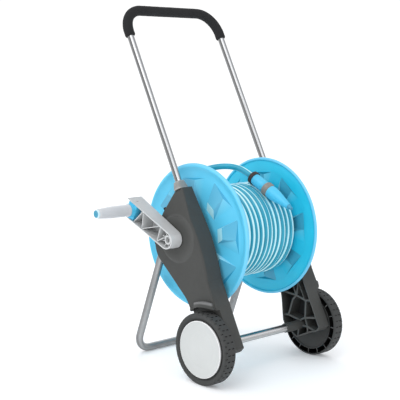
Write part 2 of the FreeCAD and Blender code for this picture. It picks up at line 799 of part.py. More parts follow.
def drum_screw_spots():
    """Middle of each drum screw, on the outer face of the right-hand flange."""
    face = float(D.flange_inner) + FLANGE_WALL
    spots = [polar(HUB_SCREW_CIRCLE, 45.0 + 90.0 * step, face + 2.0) for step in range(4)]
    return spots + [polar(CORE_SCREW_CIRCLE, angle, face) for angle in CORE_SCREW_ANGLES]


def drum_screw_holes():
    return [Part.makeCylinder(2.1, 30.0, spot - X_AXIS * 20.0, X_AXIS) for spot in drum_screw_spots()]


def make_flanges():
    shape = flange_shape()
    keep("drum_flange_right", solid("drum_flange_right", shape))
    keep("drum_flange_left", solid("drum_flange_left", mirrored(shape)))


def make_drum_screws():
    screws = []
    for spot in drum_screw_spots():
        shank = Part.makeCylinder(2.0, 14.0, spot - X_AXIS * 13.0, X_AXIS)
        head = Part.makeCylinder(3.8, 2.2, spot + X_AXIS * 0.1, X_AXIS)
        slot = Part.makeBox(1.2, 5.0, 1.0, spot + Vector(1.5, -2.5, -0.5))
        cross = Part.makeBox(1.2, 1.0, 5.0, spot + Vector(1.5, -0.5, -2.5))
        screw = shank.fuse(head).cut(slot).cut(cross)
        screws += [screw, mirrored(screw)]
    keep("drum_screws", solid("drum_screws", Part.makeCompound(screws)))


def make_core():
    half = D.flange_inner - D.fit_gap
    outer = cylinder("core_outer", D.core_radius, half * 2, (-half, D.drum_y, D.drum_z))
    inner = cylinder("core_bore", D.core_radius - CORE_WALL, half * 2 + 2, (-half - 1, D.drum_y, D.drum_z))
    shell = cut("core_shell", outer, [inner])
    lugs = []
    for side in (-1, 1):
        near = side * float(half)
        for angle in CORE_SCREW_ANGLES:
            centre = polar(CORE_SCREW_CIRCLE, angle, min(near, near - side * 22.0))
            lug = Part.makeCylinder(6.5, 22.0, centre, X_AXIS)
            web = Part.makeBox(22.0, 7.0, 10.0, Vector(0, -3.5, 3.0))
            web.rotate(Vector(0, 0, 0), X_AXIS, angle)
            web.translate(centre)
            lugs.append(lug.fuse(web).common(drum_disc(86.0, -130.0, 130.0)))
    lug_set = solid("core_lugs", Part.makeCompound(lugs))
    joined = union("core_with_lugs", [shell, lug_set])
    pilots = Part.makeCompound(drum_screw_holes() + [mirrored(h) for h in drum_screw_holes()])
    outlet = Part.makeCylinder(OUTLET_RADIUS + 0.3, 30.0, polar(70.0, OUTLET_ANGLE, OUTLET_X), outlet_way())
    holes = solid("core_holes", Part.makeCompound([pilots, outlet]))
    keep("drum_core", cut("drum_core", joined, [holes]))


def make_journals():
    """The drum's two hollow spindles. The crank sits on the left, water enters on the right."""
    inner = float(D.flange_inner)
    shaft_end = 191.8
    corners = [
        (inner - 5.0, 6.5),
        (inner - 5.0, 40.0),
        (inner - 0.1, 40.0),
        (inner - 0.1, D.journal_radius),
        (shaft_end, D.journal_radius),
        (shaft_end, 6.5),
    ]
    left = turned("journal_left_body", corners, (0.0, D.drum_y, D.drum_z), (-1, 0, 0))
    square = block(
        "journal_left_square", (14.6, 16.0, 16.0), (-206.2, D.drum_y - 8.0, D.drum_z - 8.0)
    )
    plug = cylinder("journal_left_plug", 7.0, 22.0, (-196.0, D.drum_y, D.drum_z))
    pilot = cylinder("journal_left_pilot", 2.3, 34.0, (-207.0, D.drum_y, D.drum_z))
    holes = solid("journal_left_holes", Part.makeCompound([mirrored(h) for h in drum_screw_holes()]))
    blank = union("journal_left_blank", [left, square, plug])
    keep("drum_journal_left", cut("drum_journal_left", blank, [pilot, holes]))

    spigot = [
        (inner - 5.0, 6.5),
        (inner - 5.0, 40.0),
        (inner - 0.1, 40.0),
        (inner - 0.1, D.journal_radius),
        (shaft_end, D.journal_radius),
        (shaft_end, SPIGOT_RADIUS),
        (209.6, SPIGOT_RADIUS),
        (209.6, 8.4),
        (210.9, 8.4),
        (210.9, SPIGOT_RADIUS),
        (213.0, SPIGOT_RADIUS),
        (213.0, 6.5),
    ]
    right = turned("journal_right_body", spigot, (0.0, D.drum_y, D.drum_z))
    right_holes = solid("journal_right_holes", Part.makeCompound(drum_screw_holes()))
    keep("drum_journal_right", cut("drum_journal_right", right, [right_holes]))

    for name, side in (("left", -1), ("right", 1)):
        ring = [
            (147.6, D.journal_radius + D.running_gap),
            (147.6, 24.0),
            (149.8, 24.0),
            (149.8, D.bush_radius),
            (191.4, D.bush_radius),
            (191.4, D.journal_radius + D.running_gap),
        ]
        bush = turned(f"drum_bush_{name}", ring, (0.0, D.drum_y, D.drum_z), (side, 0, 0))
        keep(f"drum_bush_{name}", bush)


OUTLET_X = -106.0
OUTLET_ANGLE = -90.0
OUTLET_RADIUS = 7.4


def outlet_way():
    return polar(1.0, OUTLET_ANGLE) - DRUM


def make_feed_pipe():
    """The water pipe inside the drum, from the right-hand journal to the hose outlet."""
    start = DRUM + X_AXIS * (float(D.flange_inner) + 20.0)
    corner = DRUM + X_AXIS * OUTLET_X
    end = polar(float(D.core_radius) - 1.5, OUTLET_ANGLE, OUTLET_X)
    path = bent_path([start, corner, end], [24.0])
    pipe = swept(path, 6.3).cut(swept(path, 4.6))
    keep("feed_pipe", solid("feed_pipe", pipe))
    nut = Part.makeCylinder(11.0, 10.0, polar(66.0, OUTLET_ANGLE, OUTLET_X), outlet_way())
    nut = nut.cut(Part.makeCylinder(6.4, 12.0, polar(65.0, OUTLET_ANGLE, OUTLET_X), outlet_way()))
    keep("feed_pipe_nut", solid("feed_pipe_nut", nut))


# ---------------------------------------------------------------- crank


def arm_point(along, above, across):
    """A point of the crank arm: along it from the drum axis, above its middle line, across."""
    angle = math.radians(D.arm_angle)
    run = Vector(0, math.cos(angle), math.sin(angle))
    rise = Vector(0, -math.sin(angle), math.cos(angle))
    return DRUM + run * along + rise * above + X_AXIS * across


def arm_prism(points, near, far):
    """A solid over a closed run of (along, above) points, between two planes of constant X."""
    corners = [arm_point(along, above, near) for along, above in points]
    return Part.Face(Part.makePolygon(corners + corners[:1])).extrude(X_AXIS * (far - near))


HUB_END_RADIUS = 22.0
GRIP_END_HALF = 24.0
ARM_OVERRUN = 20.0
KNUCKLE_RADIUS = 16.0
KNUCKLE_HALF = 20.4
PIVOT_ACROSS = -222.0
FOLD_PIN_RADIUS = 3.0
ARM_RIB_INSET = 3.5
ARM_RING_DEPTH = 27.0


def arm_profile(shrink, near):
    """The arm's outline: a round hub end, two slightly spreading sides and a square far end."""
    hub = HUB_END_RADIUS - shrink
    end = GRIP_END_HALF - shrink
    reach = float(D.arm_length) + ARM_OVERRUN
    tilt = math.degrees(math.asin((end - hub) / reach))
    side = math.radians(90.0 + tilt)
    top = (hub * math.cos(side), hub * math.sin(side))
    low = (top[0], -top[1])
    corners = [
        arm_point(*top, near),
        arm_point(reach, end, near),
        arm_point(reach, -end, near),
        arm_point(*low, near),
    ]
    edges = [Part.makeLine(corners[i], corners[i + 1]) for i in range(3)]
    edges.append(Part.Arc(corners[3], arm_point(-hub, 0.0, near), corners[0]).toShape())
    return Part.Wire(edges)


def arm_bar(start, end, thick, near, far):
    """A thin wall on the arm's floor between two (along, above) points."""
    length = math.hypot(end[0] - start[0], end[1] - start[1])
    aside = (-(end[1] - start[1]) / length * thick / 2, (end[0] - start[0]) / length * thick / 2)
    corners = [
        (start[0] + aside[0], start[1] + aside[1]),
        (end[0] + aside[0], end[1] + aside[1]),
        (end[0] - aside[0], end[1] - aside[1]),
        (start[0] - aside[0], start[1] - aside[1]),
    ]
    return arm_prism(corners, near, far)


def arm_way():
    """The direction across the arm, along the grip's fold pin."""
    return arm_point(0, 1, 0) - arm_point(0, 0, 0)


def make_crank_arm():
    back = -float(D.arm_back)
    hub_front = back - float(D.arm_depth)
    end_front = back - float(D.arm_end_depth)
    wall = float(D.arm_wall)
    reach = float(D.arm_length) + ARM_OVERRUN
    body = Part.Face(arm_profile(0.0, back)).extrude(X_AXIS * (end_front - back))
    hollow = Part.Face(arm_profile(wall, back - wall)).extrude(X_AXIS * (end_front - back))
    wide = 40.0
    slope = [
        arm_point(-HUB_END_RADIUS, -wide, hub_front),
        arm_point(reach + 1.0, -wide, end_front),
        arm_point(reach + 1.0, -wide, end_front - 20.0),
        arm_point(-HUB_END_RADIUS - 1.0, -wide, end_front - 20.0),
        arm_point(-HUB_END_RADIUS - 1.0, -wide, hub_front),
    ]
    shaved = Part.Face(Part.makePolygon(slope + slope[:1])).extrude(arm_way() * 2 * wide)
    opening = 2 * (GRIP_END_HALF - wall)
    mouth = arm_bar((reach - 8.0, 0.0), (reach + 8.0, 0.0), opening, back - 8.0, back - 60.0)
    channel = body.cut([hollow, shaved, mouth])

    floor = back - wall + 0.5
    nodes = [(11.0, 0.0), (26.0, -20.6), (31.0, 21.0), (84.0, -21.6), (98.0, 22.0), (117.0, -22.2)]
    truss = [arm_bar(a, b, 1.8, floor, end_front) for a, b in zip(nodes, nodes[1:])]
    shaved.translate(X_AXIS * ARM_RIB_INSET)
    outline = Part.Face(arm_profile(0.5, floor)).extrude(X_AXIS * (end_front - floor))
    extras = [bar.cut(shaved).common(outline) for bar in truss]
    ring_face = back - ARM_RING_DEPTH
    extras.append(drum_disc(11.5, back - 1.0, ring_face))
    for step in range(9):
        angle = math.radians(40.0 * step)
        ray = (math.cos(angle), math.sin(angle))
        inner = (9.0 * ray[0], 9.0 * ray[1])
        outer = (20.3 * ray[0], 20.3 * ray[1])
        extras.append(arm_bar(inner, outer, 1.8, floor, ring_face + 1.0))
    arm = channel.fuse(extras).cut(drum_disc(7.5, back - 15.0, ring_face - 1.0))
    square = Part.makeBox(16.0, 16.2, 16.2, DRUM + Vector(-207.5, -8.1, -8.1))
    screw_way = drum_disc(2.3, back - 10.0, back - 30.0)
    pin_start = arm_point(D.arm_length, -30.0, PIVOT_ACROSS)
    pin_way = Part.makeCylinder(FOLD_PIN_RADIUS + 0.02, 60.0, pin_start, arm_way())
    keep("crank_arm", solid("crank_arm", arm.cut([square, screw_way, pin_way])))


def make_crank_hardware():
    head = -209.1
    screw = drum_disc(2.2, head, head + 20.0).fuse(drum_disc(5.0, head, head - 3.0))
    screw = screw.cut(Part.makeBox(1.5, 6.0, 1.2, DRUM + Vector(head - 3.2, -3.0, -0.6)))
    screw = screw.cut(Part.makeBox(1.5, 1.2, 6.0, DRUM + Vector(head - 3.2, -0.6, -3.0)))
    keep("crank_screw", solid("crank_screw", screw))

    start = arm_point(D.arm_length, -FOLD_PIN_HALF, PIVOT_ACROSS)
    pin = Part.makeCylinder(FOLD_PIN_RADIUS, 2 * FOLD_PIN_HALF, start, arm_way())
    keep("fold_pin", solid("fold_pin", pin))


def grip_axis(across):
    return arm_point(D.arm_length, 0.0, across)


FOLD_PIN_HALF = 23.4
GRIP_START = -244.0
SPINDLE_START = -236.0
SPINDLE_RADIUS = 6.0


def make_crank_grip():
    """The folding grip: a knuckle in the arm's end, its spindle, a turning sleeve and an end cap."""
    barrel_start = arm_point(D.arm_length, -KNUCKLE_HALF, PIVOT_ACROSS)
    barrel = Part.makeCylinder(KNUCKLE_RADIUS, 2 * KNUCKLE_HALF, barrel_start, arm_way())
    half_turn = (D.arm_length - KNUCKLE_RADIUS, D.arm_length + KNUCKLE_RADIUS)
    head = arm_bar((half_turn[0], 0.0), (half_turn[1], 0.0), 2 * KNUCKLE_HALF, PIVOT_ACROSS, SPINDLE_START)
    crown = [e for e in head.Edges if e.BoundBox.XMax < SPINDLE_START + 0.1]
    head = head.makeFillet(4.0, crown)
    collar = Part.makeCone(18.6, 16.6, 10.0, grip_axis(SPINDLE_START + 2.5), -X_AXIS)
    pin_start = arm_point(D.arm_length, -30.0, PIVOT_ACROSS)
    pin_way = Part.makeCylinder(FOLD_PIN_RADIUS + D.running_gap, 60.0, pin_start, arm_way())
    length = float(D.crank_grip_length)
    reach = SPINDLE_START - GRIP_START + length + 3.0
    spindle = Part.makeCylinder(SPINDLE_RADIUS, reach, grip_axis(SPINDLE_START), -X_AXIS)
    base = barrel.fuse([head, collar, spindle]).cut(pin_way)
    keep("crank_knuckle", solid("crank_knuckle", base))

    radius = float(D.crank_grip_radius)
    bore = SPINDLE_RADIUS + float(D.running_gap)
    corners = [
        (0.0, bore),
        (0.0, radius + 0.6),
        (3.0, radius + 1.0),
        (6.0, radius),
        (length * 0.55, radius),
        (length - 3.0, radius - 2.6),
        (length, radius - 4.0),
        (length, bore),
    ]
    at = grip_axis(GRIP_START)
    sleeve = turned("crank_grip", corners, (at.x, at.y, at.z), (-1, 0, 0))
    keep("crank_grip", sleeve)

    cap_start = GRIP_START - length - 0.3
    cap = Part.makeCylinder(10.8, 5.0, grip_axis(cap_start), -X_AXIS)
    cap = cap.makeFillet(2.2, [e for e in cap.Edges if e.BoundBox.XMax < cap_start - 4.9])
    cap = cap.cut(Part.makeSphere(9.0, grip_axis(cap_start - 5.0 - 7.2)))
    socket = Part.makeCylinder(SPINDLE_RADIUS + D.fit_gap, reach, grip_axis(SPINDLE_START), -X_AXIS)
    keep("crank_grip_cap", solid("crank_grip_cap", cap.cut(socket)))


# ---------------------------------------------------------------- water inlet


INLET_X = 201.5
SPIGOT_RADIUS = 9.5
CLIP_ROOM_START = 209.2
NIPPLE_RADIUS = 8.0
NIPPLE_REACH = 58.0


def make_inlet():
    """The swivelling elbow that feeds the right-hand journal, with its hose-tail nipple."""
    centre = DRUM + X_AXIS * INLET_X
    sleeve = drum_disc(14.0, 193.0, CLIP_ROOM_START)
    cover = drum_disc(14.0, CLIP_ROOM_START, 217.0)
    neck = Part.makeCylinder(9.4, 33.0, centre, -Z_AXIS)
    nipple = Part.makeCylinder(NIPPLE_RADIUS, NIPPLE_REACH, centre, -Z_AXIS)
    elbow = sleeve.fuse([cover, neck, nipple])
    spigot_way = drum_disc(SPIGOT_RADIUS + D.running_gap, 190.0, CLIP_ROOM_START + 0.1)
    clip_room = drum_disc(11.5, CLIP_ROOM_START, 214.5)
    bore = Part.makeCylinder(4.6, NIPPLE_REACH + 1.0, centre, -Z_AXIS)
    bore = bore.cut(drum_disc(9.0, 190.0, 220.0))
    seal_top = centre - Z_AXIS * 39.0
    seal_groove = Part.makeCylinder(NIPPLE_RADIUS + 1.0, 2.2, seal_top, -Z_AXIS)
    seal_groove = seal_groove.cut(Part.makeCylinder(NIPPLE_RADIUS - 0.8, 2.2, seal_top, -Z_AXIS))
    elbow = elbow.cut([spigot_way, clip_room, bore, seal_groove])
    keep("inlet_elbow", solid("inlet_elbow", elbow))
    clip = drum_disc(11.0, 209.8, 210.7, 8.5)
    gap_box = Part.makeBox(4.0, 8.0, 12.0, DRUM + Vector(208.0, -4.0, 4.0))
    keep("inlet_clip", solid("inlet_clip", clip.cut(gap_box)))


# ---------------------------------------------------------------- hose

TAIL_END = -34.0


def tail_axis(along):
    """A point on the nozzle's axis, ahead of where it touches the windings."""
    angle = math.radians(D.tail_angle)
    touch = polar(D.tail_reach, D.tail_angle, D.tail_x)
    return touch + Vector(0, -math.cos(angle), -math.sin(angle)) * along


def make_hose():
    wound = float(D.flange_inner) - 0.4
    coil = drum_disc(D.coil_radius, -wound, wound, D.core_radius + 0.1)
    keep("hose_coil", solid("hose_coil", coil))

    radius = D.hose_diameter / 2
    route = [
        Vector(-111.0, 229.3, 350.0),
        Vector(-110.9, 229.0, 392.0),
        Vector(-92.4, 232.6, 435.7),
        Vector(-51.5, 229.1, 472.4),
        Vector(-4.8, 206.3, 489.1),
        Vector(19.5, 181.2, 496.7),
        Vector(35.3, 150.9, 497.8),
        tail_axis(TAIL_END - 33.5),
        tail_axis(TAIL_END),
    ]
    radii = []
    runs = [(b - a).Length for a, b in zip(route, route[1:])]
    for i in range(1, len(route) - 1):
        turn = (route[i] - route[i - 1]).getAngle(route[i + 1] - route[i])
        radii.append(0.45 * min(runs[i - 1], runs[i]) / math.tan(turn / 2))
    print("hose tail radii", [round(r) for r in radii], "runs", [round(r) for r in runs])
    path = bent_path(route, radii)
    tube = swept(path, radius)
    expected = math.pi * radius * radius * path.Length
    print("hose tail length", round(path.Length, 1), "volume ratio", round(tube.Volume / expected, 4))
    keep("hose_tail", solid("hose_tail", tube))


STEM_RADIUS = 10.2


def tail_turned(name, corners):
    """A round piece on the nozzle's axis. Corners are (ahead of the touching point, radius)."""
    touch = tail_axis(0.0)
    way = tail_axis(1.0) - touch
    return keep(name, turned(name, corners, (touch.x, touch.y, touch.z), tuple(way)))


def make_tail_fittings():
    """The connector on the hose's end and the nozzle plugged into it."""
    hose = float(D.hose_diameter) / 2
    nut = [
        (-37.0, hose + 0.1),
        (-37.0, 14.0),
        (-34.5, 17.0),
        (-25.0, 17.0),
        (-25.0, hose + 0.1),
    ]
    tail_turned("connector_nut", nut)
    shell = [
        (-33.8, 4.5),
        (-33.8, 7.0),
        (-24.8, 7.0),
        (-24.8, 14.6),
        (-10.0, 15.0),
        (8.0, 15.0),
        (16.8, 13.2),
        (16.8, 8.2),
        (2.0, 8.2),
        (2.0, 4.5),
    ]
    tail_turned("hose_connector", shell)
    ring = [
        (17.0, STEM_RADIUS + D.fit_gap),
        (17.0, 16.2),
        (20.0, 18.0),
        (31.0, 18.0),
        (34.0, 16.0),
        (34.0, STEM_RADIUS + D.fit_gap),
    ]
    tail_turned("nozzle_ring", ring)
    stem = [
        (2.4, 4.0),
        (2.4, 8.0),
        (17.2, 8.0),
        (17.2, STEM_RADIUS),
        (78.0, STEM_RADIUS),
        (78.0, 4.0),
    ]
    tail_turned("nozzle_stem", stem)
    head = [
        (34.4, STEM_RADIUS + D.running_gap),
        (34.4, 16.4),
        (46.0, 17.0),
        (62.0, 15.0),
        (96.0, 8.8),
        (104.0, 7.6),
        (104.0, 4.8),
        (80.0, 4.8),
        (80.0, STEM_RADIUS + D.running_gap),
    ]
    tail_turned("nozzle_head", head)
    tip = [
        (90.0, 2.0),
        (90.0, 4.7),
        (104.2, 4.7),
        (104.2, 6.4),
        (112.0, 4.6),
        (116.0, 3.8),
        (116.0, 2.0),
    ]
    tail_turned("nozzle_tip", tip)


# ---------------------------------------------------------------- build and write


def place_all():
    """Moves every sub-part from the middle of the wheel axle to the cart's own origin."""
    for thing in SUB_PARTS:
        base = thing.Placement.Base
        for letter, shift in (("x", D.place_x), ("y", D.place_y)):
            own = dict(thing.ExpressionEngine).get(f".Placement.Base.{letter}")
            start = own if own else repr(getattr(base, letter))
            thing.setExpression(f"Placement.Base.{letter}", f"{start} + {shift.text}")


def check_all():
    DOC.recompute()
    for thing in DOC.Objects:
        for trouble in ("Invalid", "Error"):
            if trouble in thing.State:
                raise RuntimeError(f"{thing.Label} is {trouble}")
    for thing in SUB_PARTS:
        if thing.Shape.isNull() or not thing.Shape.isValid():
            raise RuntimeError(f"{thing.Label} has no valid shape")


def write_all():
    os.makedirs("parts", exist_ok=True)
    for thing in SUB_PARTS:
        thing.Shape.exportStep(f"parts/{thing.Label}.step")


make_panels()
make_handle()
make_stand()
make_collars()
make_peg()
make_frame_screws()
make_axle()
make_wheels()
make_flanges()
make_core()
make_journals()
make_feed_pipe()
make_drum_screws()
make_crank_arm()
make_crank_hardware()
make_crank_grip()
make_inlet()
make_hose()
make_tail_fittings()
place_all()
check_all()
write_all()
whole = Part.makeCompound([thing.Shape for thing in SUB_PARTS])
print(len(SUB_PARTS), "sub-parts in", whole.BoundBox)
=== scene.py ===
import json
import math

import bmesh
import bpy
from mathutils import Matrix, Vector, noise


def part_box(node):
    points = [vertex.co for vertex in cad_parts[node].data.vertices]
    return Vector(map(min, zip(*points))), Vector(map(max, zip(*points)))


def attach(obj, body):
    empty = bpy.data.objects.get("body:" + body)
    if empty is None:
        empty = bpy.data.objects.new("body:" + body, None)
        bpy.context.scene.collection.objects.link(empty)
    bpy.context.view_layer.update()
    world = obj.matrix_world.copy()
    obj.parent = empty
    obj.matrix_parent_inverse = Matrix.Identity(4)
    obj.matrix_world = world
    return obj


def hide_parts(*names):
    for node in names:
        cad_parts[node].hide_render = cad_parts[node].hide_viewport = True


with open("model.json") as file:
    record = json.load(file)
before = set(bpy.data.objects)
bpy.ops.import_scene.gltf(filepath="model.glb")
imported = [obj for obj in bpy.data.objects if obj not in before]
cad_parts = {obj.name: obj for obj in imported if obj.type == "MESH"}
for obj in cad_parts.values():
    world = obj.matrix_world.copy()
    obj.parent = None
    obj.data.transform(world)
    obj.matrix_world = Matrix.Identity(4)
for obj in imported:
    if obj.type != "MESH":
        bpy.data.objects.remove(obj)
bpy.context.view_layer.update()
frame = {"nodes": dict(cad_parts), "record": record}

# The middles of the axle rod, the drum's core and the crank's end cap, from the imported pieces. The axle rod's
# middle is also on the plane between the wheels.
AXLE_LOW, AXLE_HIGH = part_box("axle_rod")
AXLE = (AXLE_LOW + AXLE_HIGH) / 2
CORE_LOW, CORE_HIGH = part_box("drum_core")
DRUM = (CORE_LOW + CORE_HIGH) / 2
KNOB_LOW, KNOB_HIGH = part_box("crank_grip_cap")
KNOB = (KNOB_LOW + KNOB_HIGH) / 2
MM = 0.001


def spot(x, y, z):
    """A point given in millimetres from the middle plane, the wheel axle and the floor."""
    return Vector((AXLE.x + x * MM, AXLE.y + y * MM, z * MM))


def round_drum(radius, degrees, across=0.0):
    """A point about the drum axis, at an angle from straight up towards -Y, in millimetres."""
    angle = math.radians(degrees)
    side = Vector((across, -radius * math.sin(angle), radius * math.cos(angle))) * MM
    return Vector((AXLE.x, DRUM.y, DRUM.z)) + side


# ---------------------------------------------------------------- camera, lights and floor


CAMERA_PLACE = (-1873.3, -1709.5, 803.7)
CAMERA_YAW, CAMERA_DIP, CAMERA_ROLL = 43.904, 8.461, 1.3236
CAMERA_LENS = 92.7
SUN_FROM = (-0.66, -0.05, 0.75)
SUN_STRENGTH = 1.10
SUN_SPREAD = 55.0
RIM_LIGHT_PLACE = (1.6, 2.2, 2.2)
RIM_LIGHT_AIM = (0.0, 0.0, 0.4)
RIM_LIGHT_SIZE = (1.4, 2.0)
RIM_LIGHT_POWER = 14.0
HORIZON_WHITE = (1.06, 1.06, 1.06, 1.0)
OVERHEAD_GREY = (0.78, 0.80, 0.83, 1.0)
FLOOR_SIZE = 60.0


def make_camera():
    yaw = math.radians(CAMERA_YAW)
    dip = math.radians(CAMERA_DIP)
    roll = math.radians(CAMERA_ROLL)
    ahead = Vector((math.sin(yaw) * math.cos(dip), math.cos(yaw) * math.cos(dip), -math.sin(dip)))
    right = Vector((math.cos(yaw), -math.sin(yaw), 0.0))
    up = right.cross(ahead)
    tilted_right = right * math.cos(roll) + up * math.sin(roll)
    tilted_up = up * math.cos(roll) - right * math.sin(roll)
    camera = bpy.data.objects.new("camera", bpy.data.cameras.new("camera"))
    bpy.context.scene.collection.objects.link(camera)
    turn = Matrix((tilted_right, tilted_up, -ahead)).transposed().to_4x4()
    camera.matrix_world = Matrix.Translation(spot(*CAMERA_PLACE)) @ turn
    camera.data.lens = CAMERA_LENS
    camera.data.clip_end = 200.0
    bpy.context.scene.camera = camera


def area_light(name, place, aim, size, power):
    light = bpy.data.lights.new(name, "AREA")
    light.shape = "RECTANGLE"
    light.size, light.size_y = size
    light.energy = power
    made = bpy.data.objects.new(name, light)
    bpy.context.scene.collection.objects.link(made)
    made.location = place
    made.rotation_mode = "QUATERNION"
    made.rotation_quaternion = (Vector(aim) - Vector(place)).to_track_quat("-Z", "Y")


def make_world():
    """A pale studio: white round the horizon and a little darker overhead."""
    world = bpy.data.worlds.new("studio")
    world.use_nodes = True
    tree = world.node_tree
    where = tree.nodes.new("ShaderNodeTexCoord")
    parts = tree.nodes.new("ShaderNodeSeparateXYZ")
    tree.links.new(where.outputs["Generated"], parts.inputs["Vector"])
    height = tree.nodes.new("ShaderNodeMapRange")
    height.inputs["From Min"].default_value = 0.06
    height.inputs["From Max"].default_value = 0.40
    tree.links.new(parts.outputs["Z"], height.inputs["Value"])
    mix = tree.nodes.new("ShaderNodeMix")
    mix.data_type = "RGBA"
    mix.inputs["A"].default_value = HORIZON_WHITE
    mix.inputs["B"].default_value = OVERHEAD_GREY
    tree.links.new(height.outputs["Result"], mix.inputs["Factor"])
    tree.links.new(mix.outputs["Result"], tree.nodes["Background"].inputs["Color"])
    tree.nodes["Background"].inputs["Strength"].default_value = 1.0
    bpy.context.scene.world = world


def make_sun(aim_from, strength, spread):
    light = bpy.data.lights.new("sun", "SUN")
    light.energy = strength
    light.angle = math.radians(spread)
    made = bpy.data.objects.new("sun", light)
    bpy.context.scene.collection.objects.link(made)
    made.rotation_mode = "QUATERNION"
    made.rotation_quaternion = Vector(aim_from).to_track_quat("Z", "Y")


def make_studio():
    make_world()
    make_sun(SUN_FROM, SUN_STRENGTH, SUN_SPREAD)
    bpy.context.scene.view_settings.view_transform = "Standard"
    area_light("rim", RIM_LIGHT_PLACE, RIM_LIGHT_AIM, RIM_LIGHT_SIZE, RIM_LIGHT_POWER)

    mesh = bpy.data.meshes.new("floor")
    corners = [(x * FLOOR_SIZE, y * FLOOR_SIZE, 0.0) for x, y in ((-1, -1), (1, -1), (1, 1), (-1, 1))]
    mesh.from_pydata(corners, [], [(0, 1, 2, 3)])
    floor = bpy.data.objects.new("floor", mesh)
    bpy.context.scene.collection.objects.link(floor)
    material = new_material("floor_white")
    shader = shader_of(material)
    shader.inputs["Base Color"].default_value = (0.95, 0.95, 0.95, 1.0)
    shader.inputs["Roughness"].default_value = 0.75
    shader.inputs["Emission Color"].default_value = (0.93, 0.96, 1.0, 1.0)
    shader.inputs["Emission Strength"].default_value = 0.16
    mesh.materials.append(material)


# ---------------------------------------------------------------- materials


def new_material(name):
    material = bpy.data.materials.new(name)
    material.use_nodes = True
    return material


def add_node(material, kind, inputs=None, **settings):
    tree = material.node_tree
    made = tree.nodes.new(kind)
    for name, value in settings.items():
        setattr(made, name, value)
    for name, value in (inputs or {}).items():
        if isinstance(value, bpy.types.NodeSocket):
            tree.links.new(value, made.inputs[name])
        else:
            made.inputs[name].default_value = value
    return made


def shader_of(material):
    return material.node_tree.nodes["Principled BSDF"]


def wire(material, source, target):
    material.node_tree.links.new(source, target)


def maths(material, operation, first, second=None, **settings):
    """One number worked out from one or two others, each a socket or a constant."""
    inputs = {0: first} if second is None else {0: first, 1: second}
    return add_node(material, "ShaderNodeMath", inputs, operation=operation, **settings).outputs[0]


def vector_maths(material, operation, first, second=None):
    """A vector worked out from one or two others, each a socket or a constant."""
    inputs = {0: first} if second is None else {0: first, 1: second}
    return add_node(material, "ShaderNodeVectorMath", inputs, operation=operation).outputs["Vector"]


def dot(material, first, second):
    inputs = {0: first, 1: second}
    return add_node(material, "ShaderNodeVectorMath", inputs, operation="DOT_PRODUCT").outputs["Value"]


def speckle(material, scale, detail=2.0, stretch=None):
    """A noise value in the piece's own space, stretched along an axis if asked."""
    where = add_node(material, "ShaderNodeTexCoord").outputs["Object"]
    if stretch:
        where = add_node(material, "ShaderNodeMapping", {"Vector": where, "Scale": stretch}).outputs[0]
    look = add_node(material, "ShaderNodeTexNoise", {"Vector": where, "Scale": scale, "Detail": detail})
    return look.outputs["Fac"]


def blend_colours(material, share, low, high):
    mix = add_node(material, "ShaderNodeMix", data_type="RGBA")
    wire(material, share, mix.inputs["Factor"])
    mix.inputs["A"].default_value = (*low, 1.0)
    mix.inputs["B"].default_value = (*high, 1.0)
    return mix.outputs["Result"]


def remap(material, value, low, high, start=0.3, end=0.7):
    inputs = {"Value": value, "From Min": start, "From Max": end, "To Min": low, "To Max": high}
    return add_node(material, "ShaderNodeMapRange", inputs).outputs["Result"]


def shade(colour, amount):
    return tuple(c * amount for c in colour)


def moulded(name, colour, rough, grain=900.0, bump=0.12, drift=0.10, gloss=0.5, coat=0.0):
    """Moulded plastic: uneven tone, a fine skin texture and patches of wear in its gloss."""
    material = new_material(name)
    shader = shader_of(material)
    tone = remap(material, speckle(material, 9.0, 3.0), 0.0, 1.0)
    wire(material, blend_colours(material, tone, shade(colour, 1 - drift), shade(colour, 1 + drift)),
         shader.inputs["Base Color"])
    wear = remap(material, speckle(material, 60.0, 4.0), rough - 0.06, rough + 0.08)
    wire(material, wear, shader.inputs["Roughness"])
    skin = speckle(material, grain, 3.0)
    lumps = add_node(material, "ShaderNodeBump", {"Height": skin, "Strength": bump, "Distance": 0.0004})
    wire(material, lumps.outputs["Normal"], shader.inputs["Normal"])
    shader.inputs["Specular IOR Level"].default_value = gloss
    shader.inputs["Coat Weight"].default_value = coat
    shader.inputs["Coat Roughness"].default_value = 0.25
    return material


def metal(name, colour, rough, streak, bump=0.05):
    """Drawn or plated steel, with fine streaks along the given stretch."""
    material = new_material(name)
    lines = speckle(material, 60.0, 4.0, streak)
    return finish_metal(material, blend_colours(material, lines, shade(colour, 0.82), colour), lines, rough,
                        streak, bump)


def finish_metal(material, colour, lines, rough, streak, bump):
    shader = shader_of(material)
    wire(material, colour, shader.inputs["Base Color"])
    wire(material, remap(material, lines, rough - 0.05, rough + 0.12), shader.inputs["Roughness"])
    skin = speckle(material, 240.0, 4.0, streak)
    lumps = add_node(material, "ShaderNodeBump", {"Height": skin, "Strength": bump, "Distance": 0.0003})
    wire(material, lumps.outputs["Normal"], shader.inputs["Normal"])
    shader.inputs["Metallic"].default_value = 1.0
    return material


